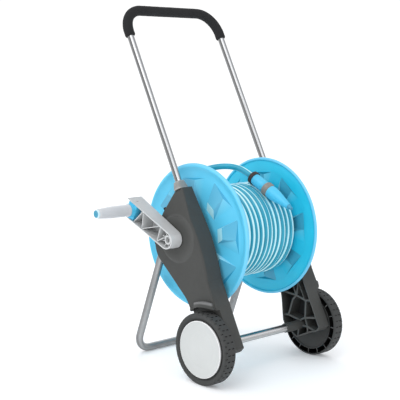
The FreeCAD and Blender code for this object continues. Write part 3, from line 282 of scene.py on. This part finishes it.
def tube_metal(name, across, bands, rough, streak, tint=(1.0, 1.0, 1.0)):
    """Plated tube with painted reflection streaks: lighter and darker bands drawn along it, placed by which way
    the wall faces.
    """
    material = new_material(name)
    facing = add_node(material, "ShaderNodeTexCoord").outputs["Normal"]
    lean = dot(material, facing, across)
    drift = remap(material, speckle(material, 7.0, 2.0), -0.05, 0.05)
    place = remap(material, maths(material, "ADD", lean, drift), 0.0, 1.0, -1.0, 1.0)
    # Painted reflection: how light the band is depends on which way the wall faces.
    ramp = add_node(material, "ShaderNodeValToRGB", {"Fac": place})
    stops = ramp.color_ramp.elements
    for i, (position, value) in enumerate(bands):
        stop = stops[i] if i < 2 else stops.new(position)
        stop.position = position
        stop.color = (*shade(tint, value), 1.0)
    lines = speckle(material, 60.0, 4.0, streak)
    grain = remap(material, lines, 0.0, 0.10)
    colour = add_node(material, "ShaderNodeMix", data_type="RGBA", blend_type="MULTIPLY")
    wire(material, grain, colour.inputs["Factor"])
    wire(material, ramp.outputs["Color"], colour.inputs["A"])
    colour.inputs["B"].default_value = (0.3, 0.3, 0.3, 1.0)
    return finish_metal(material, colour.outputs["Result"], lines, rough, streak, 0.05)


def capped(name, face, rim, start, end, middle):
    """A cap: a satin face inside a rolled rim painted paler as a highlight, by distance from the axis through
    its middle.
    """
    material = moulded(name, face, 0.42, 1100.0, 0.10, 0.03)
    away = distance_from(material, add_node(material, "ShaderNodeTexCoord"), middle)
    # Painted highlight: the rolled rim is laid over in a paler colour.
    ring = remap(material, away, 0.0, 1.0, start * MM, end * MM)
    shader = shader_of(material)
    under = shader.inputs["Base Color"].links[0].from_socket
    wire(material, paint_over(material, ring, under, rim), shader.inputs["Base Color"])
    return material


def drum_plastic(name, outward):
    """Blue flange plastic with painted light and shade. Each hill has a painted highlight on one side and
    painted shade on the other (paler towards the hub on the outer face), the hose side is painted deeper as
    shade, and the rim has a painted highlight.
    """
    material = moulded(name, BLUE, 0.36, 800.0, 0.06, 0.04, 0.35, 0.08)
    shader = shader_of(material)
    drift = shader.inputs["Base Color"].links[0].from_node.inputs["Factor"].links[0].from_socket
    space = add_node(material, "ShaderNodeTexCoord")
    flat = across_from(material, space, DRUM)
    away = length_of(material, flat)
    lean = dot(material, space.outputs["Normal"], vector_maths(material, "NORMALIZE", flat))
    facing = dot(material, space.outputs["Normal"], (outward, 0.0, 0.0))
    side = remap(material, facing, 0.0, 1.0, -0.2, 0.2)
    # Painted light and shade: a lit and a shaded copy of the blue on the two sides of every hill.
    outer_hill_lit_and_shaded = two_tone(material, lean, -0.22, 0.22, OUTER_HILL_HUBWARD_LIT, OUTER_HILL_RIMWARD_SHADED)
    inner_hill_lit_and_shaded = two_tone(material, lean, -0.25, 0.25, INNER_HILL_HUBWARD_SHADED, INNER_HILL_RIMWARD_LIT)
    flat_tone = blend_colours(material, drift, *OUTER_FLAT_BLUES)
    inner_flat_shaded = blend_colours(material, drift, *INNER_FLAT_SHADED_BLUES)
    leaning = remap(material, maths(material, "ABSOLUTE", lean), 0.0, 1.0, *HILL_LEAN)
    in_hills = remap(material, away, 1.0, 0.0, *HILLS_END)
    on_hill = maths(material, "MULTIPLY", leaning, in_hills)
    outer = mix_of(material, on_hill, flat_tone, outer_hill_lit_and_shaded)
    inner = mix_of(material, on_hill, inner_flat_shaded, inner_hill_lit_and_shaded)
    # Painted shade: the hose side of each flange is deeper.
    colour = mix_of(material, side, inner, outer)
    # Painted highlight on the rolled rim.
    rim = remap(material, away, 0.0, 1.0, *RIM_START)
    wire(material, paint_over(material, rim, colour, RIM_HIGHLIGHT_BLUE), shader.inputs["Base Color"])
    return material


def panel_plastic(name, inward):
    """Dark grey panel plastic with painted highlights on the hub pad's slope, the wheel's brow and the ribs'
    crests, and painted shade on the cell floors.
    """
    material = moulded(name, PANEL_GREY, 0.58, 1400.0, 0.25, 0.06, 0.22)
    shader = shader_of(material)
    space = add_node(material, "ShaderNodeTexCoord")
    facing = dot(material, space.outputs["Normal"], (inward, 0.0, 0.0))
    open_side = remap(material, facing, 0.0, 1.0, 0.6, 0.8)
    place = vector_maths(material, "SUBTRACT", space.outputs["Object"], AXLE)
    depth = dot(material, place, (-inward, 0.0, 0.0))
    # Painted shade on the cell floors and painted highlight on the rib crests, by depth.
    cell_shade_share = remap(material, depth, 0.0, 1.0, *CELL_DEPTH)
    tone = two_tone(material, cell_shade_share, 0.0, 1.0, PANEL_HIGHLIGHT_GREY, CELL_FLOOR_SHADE_GREY)
    under = shader.inputs["Base Color"].links[0].from_socket
    # Painted highlight on the hub pad's slope.
    from_hub = distance_from(material, space, DRUM)
    inner_edge = remap(material, from_hub, 0.0, PAD_INNER_SHARE, *PAD_INNER_EDGE)
    outer_edge = remap(material, from_hub, 1.0, 0.0, *PAD_OUTER_EDGE)
    pad = maths(material, "MULTIPLY", inner_edge, outer_edge)
    under = paint_over(material, pad, under, PANEL_HIGHLIGHT_GREY)
    # Painted highlight along the crest of the brow over the wheel.
    from_wheel = distance_from(material, space, AXLE)
    crest_start = remap(material, from_wheel, 0.0, 1.0, *BROW_START)
    crest_end = remap(material, from_wheel, 1.0, 0.0, *BROW_END)
    crest = maths(material, "MULTIPLY", crest_start, crest_end)
    proud = remap(material, depth, 0.0, 1.0, *BROW_DEPTH)
    brow = maths(material, "MULTIPLY", proud, crest)
    under = paint_over(material, brow, under, BROW_HIGHLIGHT_GREY)
    wire(material, mix_of(material, open_side, under, tone), shader.inputs["Base Color"])
    return material


def across_from(material, space, middle):
    """The way from the cross axis through a point to the surface, square to that axis."""
    centred = vector_maths(material, "SUBTRACT", space.outputs["Object"], middle)
    return vector_maths(material, "MULTIPLY", centred, (0.0, 1.0, 1.0))


def length_of(material, vector):
    return add_node(material, "ShaderNodeVectorMath", {0: vector}, operation="LENGTH").outputs["Value"]


def distance_from(material, space, middle):
    """How far the surface is from the cross axis through a point, in metres."""
    return length_of(material, across_from(material, space, middle))


def two_tone(material, value, start, end, low, high):
    return blend_colours(material, remap(material, value, 0.0, 1.0, start, end), low, high)


def paint_over(material, share, under, colour):
    """One plain colour laid over another by a share."""
    mix = add_node(material, "ShaderNodeMix", data_type="RGBA")
    wire(material, share, mix.inputs["Factor"])
    wire(material, under, mix.inputs["A"])
    mix.inputs["B"].default_value = (*colour, 1.0)
    return mix.outputs["Result"]


def mix_of(material, share, first, second):
    mix = add_node(material, "ShaderNodeMix", data_type="RGBA")
    wire(material, share, mix.inputs["Factor"])
    wire(material, first, mix.inputs["A"])
    wire(material, second, mix.inputs["B"])
    return mix.outputs["Result"]


def ridged_arm(name, colour):
    """Light grey plastic with fine bumped ridges across the arm's two long sides and painted shade in their
    grooves.
    """
    material = moulded(name, colour, 0.42, 1100.0, 0.15, 0.04)
    shader = shader_of(material)
    tilt = math.radians(ARM_TILT)
    space = add_node(material, "ShaderNodeTexCoord")
    along = dot(material, space.outputs["Object"], (0.0, math.cos(tilt), math.sin(tilt)))
    facing = dot(material, space.outputs["Normal"], (0.0, -math.sin(tilt), math.cos(tilt)))
    strong = maths(material, "ABSOLUTE", facing)
    wave = maths(material, "SINE", maths(material, "MULTIPLY", along, 2 * math.pi / RIDGE_PITCH))
    ridge = remap(material, wave, 0.0, 1.0, -0.4, 0.6)
    on_side = remap(material, strong, 0.0, 1.0, 0.80, 0.95)
    height = maths(material, "MULTIPLY", ridge, on_side)
    lumps = shader.inputs["Normal"].links[0].from_node
    bump = {"Height": height, "Strength": 0.7, "Distance": RIDGE_DEPTH, "Normal": lumps.outputs["Normal"]}
    lines = add_node(material, "ShaderNodeBump", bump)
    wire(material, lines.outputs["Normal"], shader.inputs["Normal"])
    under = shader.inputs["Base Color"].links[0].from_socket
    # Painted shade in the grooves between the ridges.
    groove = maths(material, "SUBTRACT", on_side, ridge, use_clamp=True)
    groove_shade = remap(material, groove, 0.0, 0.30, 0.2, 1.0)
    wire(material, paint_over(material, groove_shade, under, shade(colour, 0.35)), shader.inputs["Base Color"])
    return material


def hose_material():
    """Blue hose with a pale stripe that wanders a little; UV runs along and round it."""
    material = new_material("hose")
    shader = shader_of(material)
    uv = add_node(material, "ShaderNodeUVMap", uv_map="along").outputs["UV"]
    parts = add_node(material, "ShaderNodeSeparateXYZ", {"Vector": uv})
    wander = add_node(material, "ShaderNodeTexNoise", {"W": parts.outputs["X"], "Scale": 1.3, "Detail": 1.0},
                      noise_dimensions="1D").outputs["Fac"]
    middle = remap(material, wander, 0.41, 0.57, 0.2, 0.8)
    away = maths(material, "ABSOLUTE", maths(material, "SUBTRACT", parts.outputs["Y"], middle))
    stripe = remap(material, away, 1.0, 0.0, *STRIPE_EDGE)
    tone = remap(material, speckle(material, 22.0, 3.0), 0.0, 1.0)
    body = blend_colours(material, tone, (0.016, 0.32, 0.46), (0.026, 0.40, 0.56))
    pale = blend_colours(material, tone, (0.55, 0.93, 0.97), (0.68, 0.98, 1.0))
    wire(material, mix_of(material, stripe, body, pale), shader.inputs["Base Color"])
    wire(material, remap(material, speckle(material, 90.0, 3.0), 0.28, 0.42), shader.inputs["Roughness"])
    skin = speckle(material, 700.0, 3.0)
    lumps = add_node(material, "ShaderNodeBump", {"Height": skin, "Strength": 0.06, "Distance": 0.0004})
    wire(material, lumps.outputs["Normal"], shader.inputs["Normal"])
    return material


# Blues of the flanges, outer face first: lit and shaded copies painted on the hill sides, painted shade on the
# hose side and a painted highlight on the rim, and where each one lies, in metres from the drum axis.
BLUE = (0.085, 0.55, 0.82)
OUTER_HILL_HUBWARD_LIT, OUTER_HILL_RIMWARD_SHADED = (0.42, 0.86, 0.99), (0.030, 0.35, 0.57)
INNER_HILL_HUBWARD_SHADED, INNER_HILL_RIMWARD_LIT = (0.004, 0.33, 0.51), (0.30, 0.82, 0.96)
OUTER_FLAT_BLUES = ((0.095, 0.54, 0.80), (0.12, 0.60, 0.86))
INNER_FLAT_SHADED_BLUES = ((0.016, 0.50, 0.72), (0.026, 0.56, 0.79))
RIM_HIGHLIGHT_BLUE = (0.17, 0.60, 0.86)
HILL_LEAN = (0.015, 0.09)
HILLS_END = (0.1508, 0.1516)
RIM_START = (0.175, 0.178)

# Greys of the side panels, with painted highlights on the rib crests, the pad's slope and the brow and painted
# shade on the cell floors,
# and where they change: the cells and the brow by depth from the mid-plane, the pad by distance from the drum
# axis, the brow by distance from the wheel axle, all in metres.
PANEL_GREY = (0.062, 0.063, 0.060)
PANEL_HIGHLIGHT_GREY = (0.098, 0.099, 0.096)
CELL_FLOOR_SHADE_GREY = (0.028, 0.028, 0.029)
BROW_HIGHLIGHT_GREY = (0.19, 0.19, 0.19)
CELL_DEPTH = (0.150, 0.168)
PAD_INNER_SHARE = 0.5
PAD_INNER_EDGE = (0.038, 0.057)
PAD_OUTER_EDGE = (0.0590, 0.0625)
BROW_START = (0.1065, 0.1100)
BROW_END = (0.1130, 0.1140)
BROW_DEPTH = (0.1905, 0.1960)

ARM_TILT = 25.5
RIDGE_PITCH = 0.0034
RIDGE_DEPTH = 0.0005
STRIPE_EDGE = (0.060, 0.072)

# Painted reflection bands along each tube: how far round, from 0 to 1, and how light.
LEG_REFLECTION_BANDS = [(0.0, 0.30), (1.0, 0.80), (0.22, 0.24), (0.36, 0.10), (0.45, 0.62), (0.52, 1.0), (0.64, 1.0),
             (0.74, 0.34), (0.86, 0.42)]
BAR_REFLECTION_BANDS = [(0.0, 0.50), (1.0, 0.26), (0.18, 0.44), (0.36, 0.58), (0.52, 0.34), (0.64, 0.48), (0.76, 0.90),
             (0.88, 0.38)]
FOOT_REFLECTION_BANDS = [(0.0, 0.40), (1.0, 0.34), (0.20, 0.22), (0.42, 0.44), (0.58, 0.38), (0.74, 0.26), (0.88, 0.38)]
TO_THE_RIGHT = (0.72, -0.69, 0.0)
# The zinc, satin grey and axle finishes carry painted reflection bands.
FINISH = {
    "zinc_tube": tube_metal("zinc", TO_THE_RIGHT, LEG_REFLECTION_BANDS, 0.18, (1.0, 0.08, 0.08)),
    "grey_tube": tube_metal("satin_grey", (0.5, -0.5, 0.7), FOOT_REFLECTION_BANDS, 0.40, (1.0, 0.2, 0.2)),
    "axle_steel": tube_metal("axle_steel", (0.0, 0.0, 1.0), BAR_REFLECTION_BANDS, 0.20, (0.05, 1.0, 1.0)),
    "foam": moulded("foam", (0.021, 0.021, 0.022), 0.80, 500.0, 0.6, 0.1, 0.2),
    "light_plastic": moulded("light_grey", (0.62, 0.63, 0.65), 0.42, 1100.0, 0.15, 0.05),
    "black_rubber": moulded("black_rubber", (0.012, 0.012, 0.012), 0.55, 900.0, 0.2, 0.1, 0.3),
    "steel_hardware": metal("hardware", (0.62, 0.62, 0.62), 0.30, (1.0, 1.0, 1.0)),
    "tyre_plastic": moulded("tyre_black", (0.052, 0.053, 0.052), 0.60, 1000.0, 0.2, 0.10, 0.22),
    "drum_blue": moulded("drum_blue", BLUE, 0.36, 800.0, 0.06, 0.04, 0.35, 0.08),
    "grey_plastic": moulded("grey", (0.20, 0.20, 0.20), 0.45, 1000.0, 0.15),
}
PIECE_FINISH = {
    "side_panel_left": panel_plastic("panel_grey_left", 1.0),
    "side_panel_right": panel_plastic("panel_grey_right", -1.0),
    "hubcap_left": capped("cap_grey", (0.56, 0.575, 0.565), (0.90, 0.90, 0.90), 67.6, 68.6, AXLE),
    "drum_flange_left": drum_plastic("flange_blue_left", -1.0),
    "drum_flange_right": drum_plastic("flange_blue_right", 1.0),
    "crank_arm": ridged_arm("arm_grey", (0.60, 0.61, 0.61)),
    "crank_grip_cap": capped("cap_blue", (0.05, 0.31, 0.46), (0.62, 0.80, 0.86), 8.6, 9.4, KNOB),
    "nozzle_tip": moulded("tip_blue", (0.06, 0.34, 0.52), 0.40, 900.0, 0.1),
    "connector_nut": moulded("dark_brown", (0.045, 0.028, 0.022), 0.45, 1000.0, 0.15, 0.10, 0.3),
    "nozzle_ring": moulded("warm_grey", (0.24, 0.22, 0.20), 0.45, 1000.0, 0.15),
}
PIECE_FINISH["hubcap_right"] = PIECE_FINISH["hubcap_left"]
COLLAR_GREY = moulded("collar_grey", (0.36, 0.36, 0.35), 0.45, 1100.0, 0.15, 0.05)
# Painted shade for the wheels' deep ring and slot floors.
RECESS_SHADE_BLACK = moulded("recess_shade_black", (0.006, 0.006, 0.006), 0.7, 1000.0, 0.15, 0.1, 0.05)
# Painted highlight for the wheels' rib ends.
RIB_END_HIGHLIGHT_GREY = moulded("rib_end_highlight_grey", (0.13, 0.13, 0.13), 0.6, 1000.0, 0.15, 0.1, 0.2)


def paint_frame():
    for row in frame["record"]["subparts"]:
        finish = PIECE_FINISH.get(row["node"], FINISH.get(row["material_slot"]))
        if finish:
            thing = frame["nodes"][row["node"]]
            thing.data.materials.clear()
            thing.data.materials.append(finish)


# ---------------------------------------------------------------- mesh helpers


CRISP_ANGLE = 38.0


def new_piece(name, points, faces, material, body):
    mesh = bpy.data.meshes.new(name)
    mesh.from_pydata([tuple(p) for p in points], [], faces)
    mesh.validate()
    made = bpy.data.objects.new(name, mesh)
    bpy.context.scene.collection.objects.link(made)
    mesh.materials.append(material)
    for face in mesh.polygons:
        face.use_smooth = True
    mesh.update()
    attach(made, body)
    return made


def tube_along(name, path, radius, sides, material, body, outward):
    """A round tube that follows the path's points; outward says which way its seam's far side faces."""
    points = []
    faces = []
    count = len(path)
    travelled = [0.0]
    for a, b in zip(path, path[1:]):
        travelled.append(travelled[-1] + (b - a).length)
    for i, here in enumerate(path):
        ahead = (path[min(i + 1, count - 1)] - path[max(i - 1, 0)]).normalized()
        out = outward(here)
        out = (out - ahead * out.dot(ahead)).normalized()
        side = ahead.cross(out)
        for k in range(sides):
            angle = 2 * math.pi * k / sides
            points.append(here - (out * math.cos(angle) + side * math.sin(angle)) * radius)
    for i in range(count - 1):
        for k in range(sides):
            ahead_k = (k + 1) % sides
            low, high = i * sides, (i + 1) * sides
            faces.append((low + k, low + ahead_k, high + ahead_k, high + k))
    faces.append(tuple(range(sides))[::-1])
    faces.append(tuple((count - 1) * sides + k for k in range(sides)))
    made = new_piece(name, points, faces, material, body)
    layer = made.data.uv_layers.new(name="along")
    for face in made.data.polygons:
        quad = face.index < (count - 1) * sides
        k = face.index % sides
        for loop in face.loop_indices:
            vertex = made.data.loops[loop].vertex_index
            turn = (vertex % sides) / sides
            if quad and k == sides - 1 and vertex % sides == 0:
                turn = 1.0
            layer.data[loop].uv = (travelled[vertex // sides], turn)
    return made


def grid_faces(rows, columns, close_rows=False):
    """Quads over a grid of points stored row by row; the columns always close into a ring."""
    faces = []
    for i in range(rows if close_rows else rows - 1):
        ahead = (i + 1) % rows
        for k in range(columns):
            beside = (k + 1) % columns
            here, there = i * columns, ahead * columns
            faces.append((here + k, here + beside, there + beside, there + k))
    return faces


def soften(made, degrees):
    made.data.set_sharp_from_angle(angle=math.radians(degrees))


def bevel(names, width):
    """A small moulded radius on the crisp edges of carried-over pieces."""
    for name in names:
        rounding = frame["nodes"][name].modifiers.new("edge_radius", "BEVEL")
        rounding.width = width * MM
        rounding.segments = 2
        rounding.limit_method = "ANGLE"
        rounding.angle_limit = math.radians(CRISP_ANGLE)
        rounding.harden_normals = True


# ---------------------------------------------------------------- wheels

WHEEL_RADIUS = 88.0
WHEEL_SIDE = 200.0
SPOKES = 16
SPOKE_HALF = 1.0
BLOCKS = 36
TREAD_FROM = 86.9
SLOT_DEPTH = 2.0
BOX_FACES = ((0, 1, 2, 3), (7, 6, 5, 4), (0, 4, 5, 1), (1, 5, 6, 2), (2, 6, 7, 3), (3, 7, 4, 0))
SLOT_SPOTS = [0.0, 0.10, 0.13, 0.24, 0.27, 0.38, 0.50, 0.60, 0.63, 0.74, 0.77, 0.88]


def tread_cut(across, share):
    """How deep the tread is cut at a place across it and a share of the block pitch round it."""
    row_a = 0.12 < share < 0.25
    row_b = 0.62 < share < 0.75
    if row_a and (-11.2 < across < -4.6 or 1.6 < across < 8.6):
        return SLOT_DEPTH
    if row_b and (-4.4 < across < 1.4 or across > 11.4):
        return SLOT_DEPTH
    return 0.0


def make_wheel(side):
    """A moulded wheel: slotted tread, ribbed inner rim and a deep ring on the inner side, with painted shade in
    the ring and slot floors and a painted highlight on the rib ends.
    """
    name = "left" if side < 0 else "right"
    tread = [-14.0, -11.3, -11.1, -4.7, -4.5, 1.5, 1.7, 8.5, 8.7, 11.3, 11.5, 13.4]
    profile = [(-17.0, WHEEL_RADIUS - 2.6), (-16.2, WHEEL_RADIUS - 0.9)]
    profile += [(u, WHEEL_RADIUS - 0.02) for u in tread]
    profile += [(15.4, 87.0), (16.6, 85.2), (17.0, 82.4), (16.6, 79.0), (15.4, 76.4), (13.4, 74.4)]
    profile += [(11.0, 71.6), (11.0, 14.0), (9.0, 12.0), (9.0, 5.2), (-17.0, 5.2), (-17.0, 14.0)]
    profile += [(-14.6, 16.0), (-14.6, 66.0), (-17.0, 69.0), (-17.0, 71.3)]
    profile += [(8.0, 71.5), (8.0, 83.4), (-17.0, 83.6)]
    points = []
    for u, radius in profile:
        for block in range(BLOCKS):
            for share in SLOT_SPOTS:
                angle = 2 * math.pi * (block + share) / BLOCKS
                at = radius - (tread_cut(u, share) if radius > TREAD_FROM else 0.0)
                points.append(spot(side * (WHEEL_SIDE + u), at * math.sin(angle),
                                   WHEEL_RADIUS + at * math.cos(angle)))
    columns = BLOCKS * len(SLOT_SPOTS)
    faces = grid_faces(len(profile), columns, True)
    if side > 0:
        faces = [face[::-1] for face in faces]
    for step in range(SPOKES):
        angle = math.radians(step * 360.0 / SPOKES)
        out = Vector((0.0, math.sin(angle), math.cos(angle)))
        aside = Vector((0.0, math.cos(angle), -math.sin(angle))) * SPOKE_HALF
        base = len(points)
        for u in (-14.0, 8.6):
            for radius, turn in ((70.5, 1), (84.0, 1), (84.0, -1), (70.5, -1)):
                place = out * radius + aside * turn
                points.append(spot(side * (WHEEL_SIDE + u), place.y, WHEEL_RADIUS + place.z))
        faces += [tuple(base + corner for corner in face) for face in BOX_FACES]
    made = new_piece(f"wheel_{name}_visual", points, faces, FINISH["tyre_plastic"], f"wheel_{name}")
    settle_normals(made)
    soften(made, 32.0)
    made.data.materials.append(RECESS_SHADE_BLACK)
    made.data.materials.append(RIB_END_HIGHLIGHT_GREY)
    middle = spot(side * WHEEL_SIDE, 0.0, WHEEL_RADIUS)
    for face in made.data.polygons:
        out = math.hypot(face.center.y - middle.y, face.center.z - middle.z) / MM
        inward = side * (middle.x - face.center.x) / MM
        # Rib ends get the painted highlight; the ring and slot floors get the painted shade.
        rib_end = 13.0 < inward < 14.5 and side * face.normal.x < -0.9
        if rib_end and 71.5 < out < 83.5:
            face.material_index = 2
            continue
        in_ring = 71.0 < out < 83.58 and -8.5 < inward < 16.9
        slot_floor = 86.0 < out < 87.2 and abs(inward) < 12.0
        if in_ring or slot_floor:
            face.material_index = 1
    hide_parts(f"wheel_{name}")


def settle_normals(made):
    shell = bmesh.new()
    shell.from_mesh(made.data)
    bmesh.ops.recalc_face_normals(shell, faces=shell.faces)
    shell.to_mesh(made.data)
    shell.free()


# ---------------------------------------------------------------- handle grip and collars

HANDLE_TOP = (373.4, 892.9)
HANDLE_LEAN = 0.5443
LEG_SIDE = 162.6
GRIP_RADIUS = 13.55
GRIP_END = 76.5
GRIP_BEND = 62.0
GRIP_BORE = 9.0
ROLLED_END = 5.5


def leg_up():
    return Vector((0.0, HANDLE_LEAN, 1.0)).normalized()


def leg_spot(side, height):
    return spot(side * LEG_SIDE, HANDLE_TOP[0] + HANDLE_LEAN * (height - HANDLE_TOP[1]), height)


def grip_line():
    """Points along the middle of the foam grip, from one end over both bends to the other."""
    up = leg_up()
    across = Vector((1.0, 0.0, 0.0))
    low_left = leg_spot(-1, HANDLE_TOP[1])
    low_right = leg_spot(1, HANDLE_TOP[1])
    line = []
    for step in range(5):
        line.append(low_left - up * (GRIP_END - step * (GRIP_END - GRIP_BEND) / 4) * MM)
    middle_left = low_left - up * GRIP_BEND * MM + across * GRIP_BEND * MM
    for step in range(1, 25):
        angle = math.radians(90.0 * step / 24)
        line.append(middle_left + (up * math.sin(angle) - across * math.cos(angle)) * GRIP_BEND * MM)
    middle_right = low_right - up * GRIP_BEND * MM - across * GRIP_BEND * MM
    for step in range(1, 24):
        line.append(line[28].lerp(middle_right + up * GRIP_BEND * MM, step / 24))
    for step in range(0, 25):
        angle = math.radians(90.0 - 90.0 * step / 24)
        line.append(middle_right + (up * math.sin(angle) + across * math.cos(angle)) * GRIP_BEND * MM)
    for step in range(1, 5):
        line.append(low_right - up * (GRIP_BEND + step * (GRIP_END - GRIP_BEND) / 4) * MM)
    return line


def make_foam_grip():
    """The foam sleeve: soft rolled ends and a slightly uneven skin."""
    line = grip_line()
    travelled = [0.0]
    for a, b in zip(line, line[1:]):
        travelled.append(travelled[-1] + (b - a).length / MM)
    total = travelled[-1]
    stations = [0.0, 0.0, 0.6, 1.6, 3.2, 5.5]
    step = 9.0
    while step < total - 9.0:
        stations.append(step)
        step += 2.2
    stations += [total - s for s in (5.5, 3.2, 1.6, 0.6, 0.0, 0.0)]
    sides = 48
    points = []
    for number, along in enumerate(stations):
        index = max(i for i, t in enumerate(travelled) if t <= along + 1e-6)
        index = min(index, len(line) - 2)
        share = (along - travelled[index]) / (travelled[index + 1] - travelled[index])
        here = line[index].lerp(line[index + 1], share)
        ahead = (line[index + 1] - line[index]).normalized()
        out = Vector((0.0, -1.0, HANDLE_LEAN)).normalized()
        side = ahead.cross(out).normalized()
        edge = min(along, total - along)
        radius = GRIP_RADIUS - 3.2 * max(0.0, 1.0 - edge / ROLLED_END) ** 2.5
        if number in (0, len(stations) - 1):
            radius = GRIP_BORE
        for k in range(sides):
            angle = 2 * math.pi * k / sides
            way = out * math.cos(angle) + side * math.sin(angle)
            dent = 0.0
            if radius > GRIP_BORE + 0.5:
                dent = 0.22 * (1.0 + noise.noise((here + way * 0.012) * 90.0))
                dent += 0.10 * (1.0 + noise.noise((here + way * 0.012) * 420.0))
            points.append(here + way * (radius - dent) * MM)
    faces = grid_faces(len(stations), sides)
    made = new_piece("foam_grip", points, faces, FINISH["foam"], "frame")
    settle_normals(made)
    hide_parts("handle_grip")


SEAT_HEIGHT = 455.0
COLLAR_SECTIONS = [(0.2, 33.0, 25.0), (6.0, 32.0, 24.5), (21.0, 22.0, 21.5)]
COLLAR_RIBS = 7
COLLAR_BORE = 8.95
RIBS_START = 4.0
RIB_DEPTH = 0.75
SQUARENESS = 0.42


def collar_size(rise):
    for (r0, w0, d0), (r1, w1, d1) in zip(COLLAR_SECTIONS, COLLAR_SECTIONS[1:]):
        if rise <= r1 + 1e-6:
            share = (rise - r0) / (r1 - r0)
            return w0 + (w1 - w0) * share, d0 + (d1 - d0) * share
    return COLLAR_SECTIONS[-1][1:]


def rounded_ring(wide, deep, sides):
    """A rounded rectangle as (across, ahead) pairs."""
    ring = []
    for k in range(sides):
        angle = 2 * math.pi * k / sides
        c, s = math.cos(angle), math.sin(angle)
        ring.append((math.copysign(abs(c) ** SQUARENESS, c) * wide / 2,
                     math.copysign(abs(s) ** SQUARENESS, s) * deep / 2))
    return ring


def make_collar(side):
    """The moulded cap round the handle leg, with fine ribs round it."""
    name = "left" if side < 0 else "right"
    up = leg_up()
    ahead = Vector((0.0, up.z, -up.y))
    base = leg_spot(side, SEAT_HEIGHT)
    low, high = COLLAR_SECTIONS[0][0], COLLAR_SECTIONS[-1][0]
    pitch = (high - 2.0 - RIBS_START) / COLLAR_RIBS
    levels = [(low, 0.6), (low + 0.6, 0.0), (3.6, 0.0)]
    for rib in range(COLLAR_RIBS):
        start = RIBS_START + rib * pitch
        levels += [(start, RIB_DEPTH), (start + pitch * 0.42, RIB_DEPTH)]
        levels += [(start + pitch * 0.5, 0.0), (start + pitch * 0.92, 0.0)]
    levels += [(high - 1.2, 0.0), (high, 1.0)]
    sides = 48
    points = []
    for rise, inset in levels:
        wide, deep = collar_size(rise)
        for a, b in rounded_ring(wide - 2 * inset, deep - 2 * inset, sides):
            points.append(base + (up * rise + Vector((1.0, 0.0, 0.0)) * a + ahead * b) * MM)
    for rise in (high - 0.2, low):
        for k in range(sides):
            angle = 2 * math.pi * k / sides
            way = Vector((1.0, 0.0, 0.0)) * math.cos(angle) + ahead * math.sin(angle)
            points.append(base + (up * rise + way * COLLAR_BORE) * MM)
    faces = grid_faces(len(levels) + 2, sides, True)
    made = new_piece(f"collar_{name}_visual", points, faces, COLLAR_GREY, "frame")
    settle_normals(made)
    soften(made, 35.0)
    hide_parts(f"handle_collar_{name}")


# ---------------------------------------------------------------- hose

HOSE_DIAMETER = 15.8
WRAP = 15.9
FIRST_WRAP = -111.3
INNER_LAYER = 96.2
OUTER_LAYER = 112.1
LAYER_TURNS = 14
STEP_TURNS = 1
TURN_POINTS = 18
HOSE_SIDES = 20
NOZZLE_TILT = 25.7


def nozzle_axis(along):
    """A point on the connector's axis, in millimetres ahead of where it lies on the windings."""
    tilt = math.radians(NOZZLE_TILT)
    ahead = Vector((0.0, -math.cos(tilt), -math.sin(tilt)))
    return round_drum(137.0, NOZZLE_TILT, 44.0) + ahead * along * MM


def hose_route():
    """Control points: the inner layer, the step up at the far flange, the outer layer, the loose end."""
    total = 2 * LAYER_TURNS + STEP_TURNS
    pull_in = 1 / math.cos(math.pi / TURN_POINTS)
    points = []
    for i in range(total * TURN_POINTS - 1):
        turn = i / TURN_POINTS
        if turn < LAYER_TURNS:
            across, radius = FIRST_WRAP + WRAP * turn, INNER_LAYER
        elif turn < LAYER_TURNS + STEP_TURNS:
            climb = (turn - LAYER_TURNS) / STEP_TURNS
            across, radius = -FIRST_WRAP, INNER_LAYER + (OUTER_LAYER - INNER_LAYER) * climb
        else:
            back = turn - LAYER_TURNS - STEP_TURNS
            loose = min(1.0, back / 2, (LAYER_TURNS - back) / 2)
            sway = 0.7 * math.sin(turn * 2.1) + 0.5 * math.sin(turn * 5.3 + 1.0)
            lift = 0.35 * math.sin(turn * 3.7 + 0.4)
            across, radius = -FIRST_WRAP - WRAP * back + sway * loose, OUTER_LAYER + lift * loose
        points.append(round_drum(radius * pull_in, -90.0 + 360.0 * turn, across))
    points += [
        spot(-111.0, 229.3, 350.0),
        spot(-110.9, 229.0, 392.0),
        spot(-92.4, 232.6, 435.7),
        spot(-51.5, 229.1, 472.4),
        spot(-4.8, 206.3, 489.1),
        spot(19.5, 181.2, 496.7),
        spot(35.3, 150.9, 497.8),
        nozzle_axis(-67.5),
        nozzle_axis(-34.0),
    ]
    return points


def smooth_line(points, steps):
    """The points of the NURBS curve that a route controls."""
    curve = bpy.data.curves.new("route", "CURVE")
    curve.dimensions = "3D"
    curve.resolution_u = steps
    spline = curve.splines.new("NURBS")
    spline.points.add(len(points) - 1)
    for point, place in zip(spline.points, points):
        point.co = (*place, 1.0)
    spline.order_u = 3
    spline.use_endpoint_u = True
    holder = bpy.data.objects.new("route", curve)
    mesh = bpy.data.meshes.new_from_object(holder)
    line = [v.co.copy() for v in mesh.vertices]
    bpy.data.objects.remove(holder)
    bpy.data.meshes.remove(mesh)
    bpy.data.curves.remove(curve)
    return line


def make_hose():
    route = hose_route()
    line = smooth_line(route, 8)

    def away_from_drum(point):
        return Vector((0.0, point.y - DRUM.y, point.z - DRUM.z))

    hose = tube_along("hose", line, HOSE_DIAMETER / 2 * MM, HOSE_SIDES, hose_material(), "drum",
                      away_from_drum)
    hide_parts("hose_coil", "hose_tail")


# ---------------------------------------------------------------- make it all

make_camera()
make_studio()
paint_frame()
for side in (-1, 1):
    make_wheel(side)
    make_collar(side)
make_foam_grip()
bevel(["side_panel_left", "side_panel_right", "crank_arm"], 0.7)
bevel(["connector_nut", "hose_connector", "nozzle_ring", "nozzle_head", "crank_grip", "inlet_elbow"], 0.4)
make_hose()
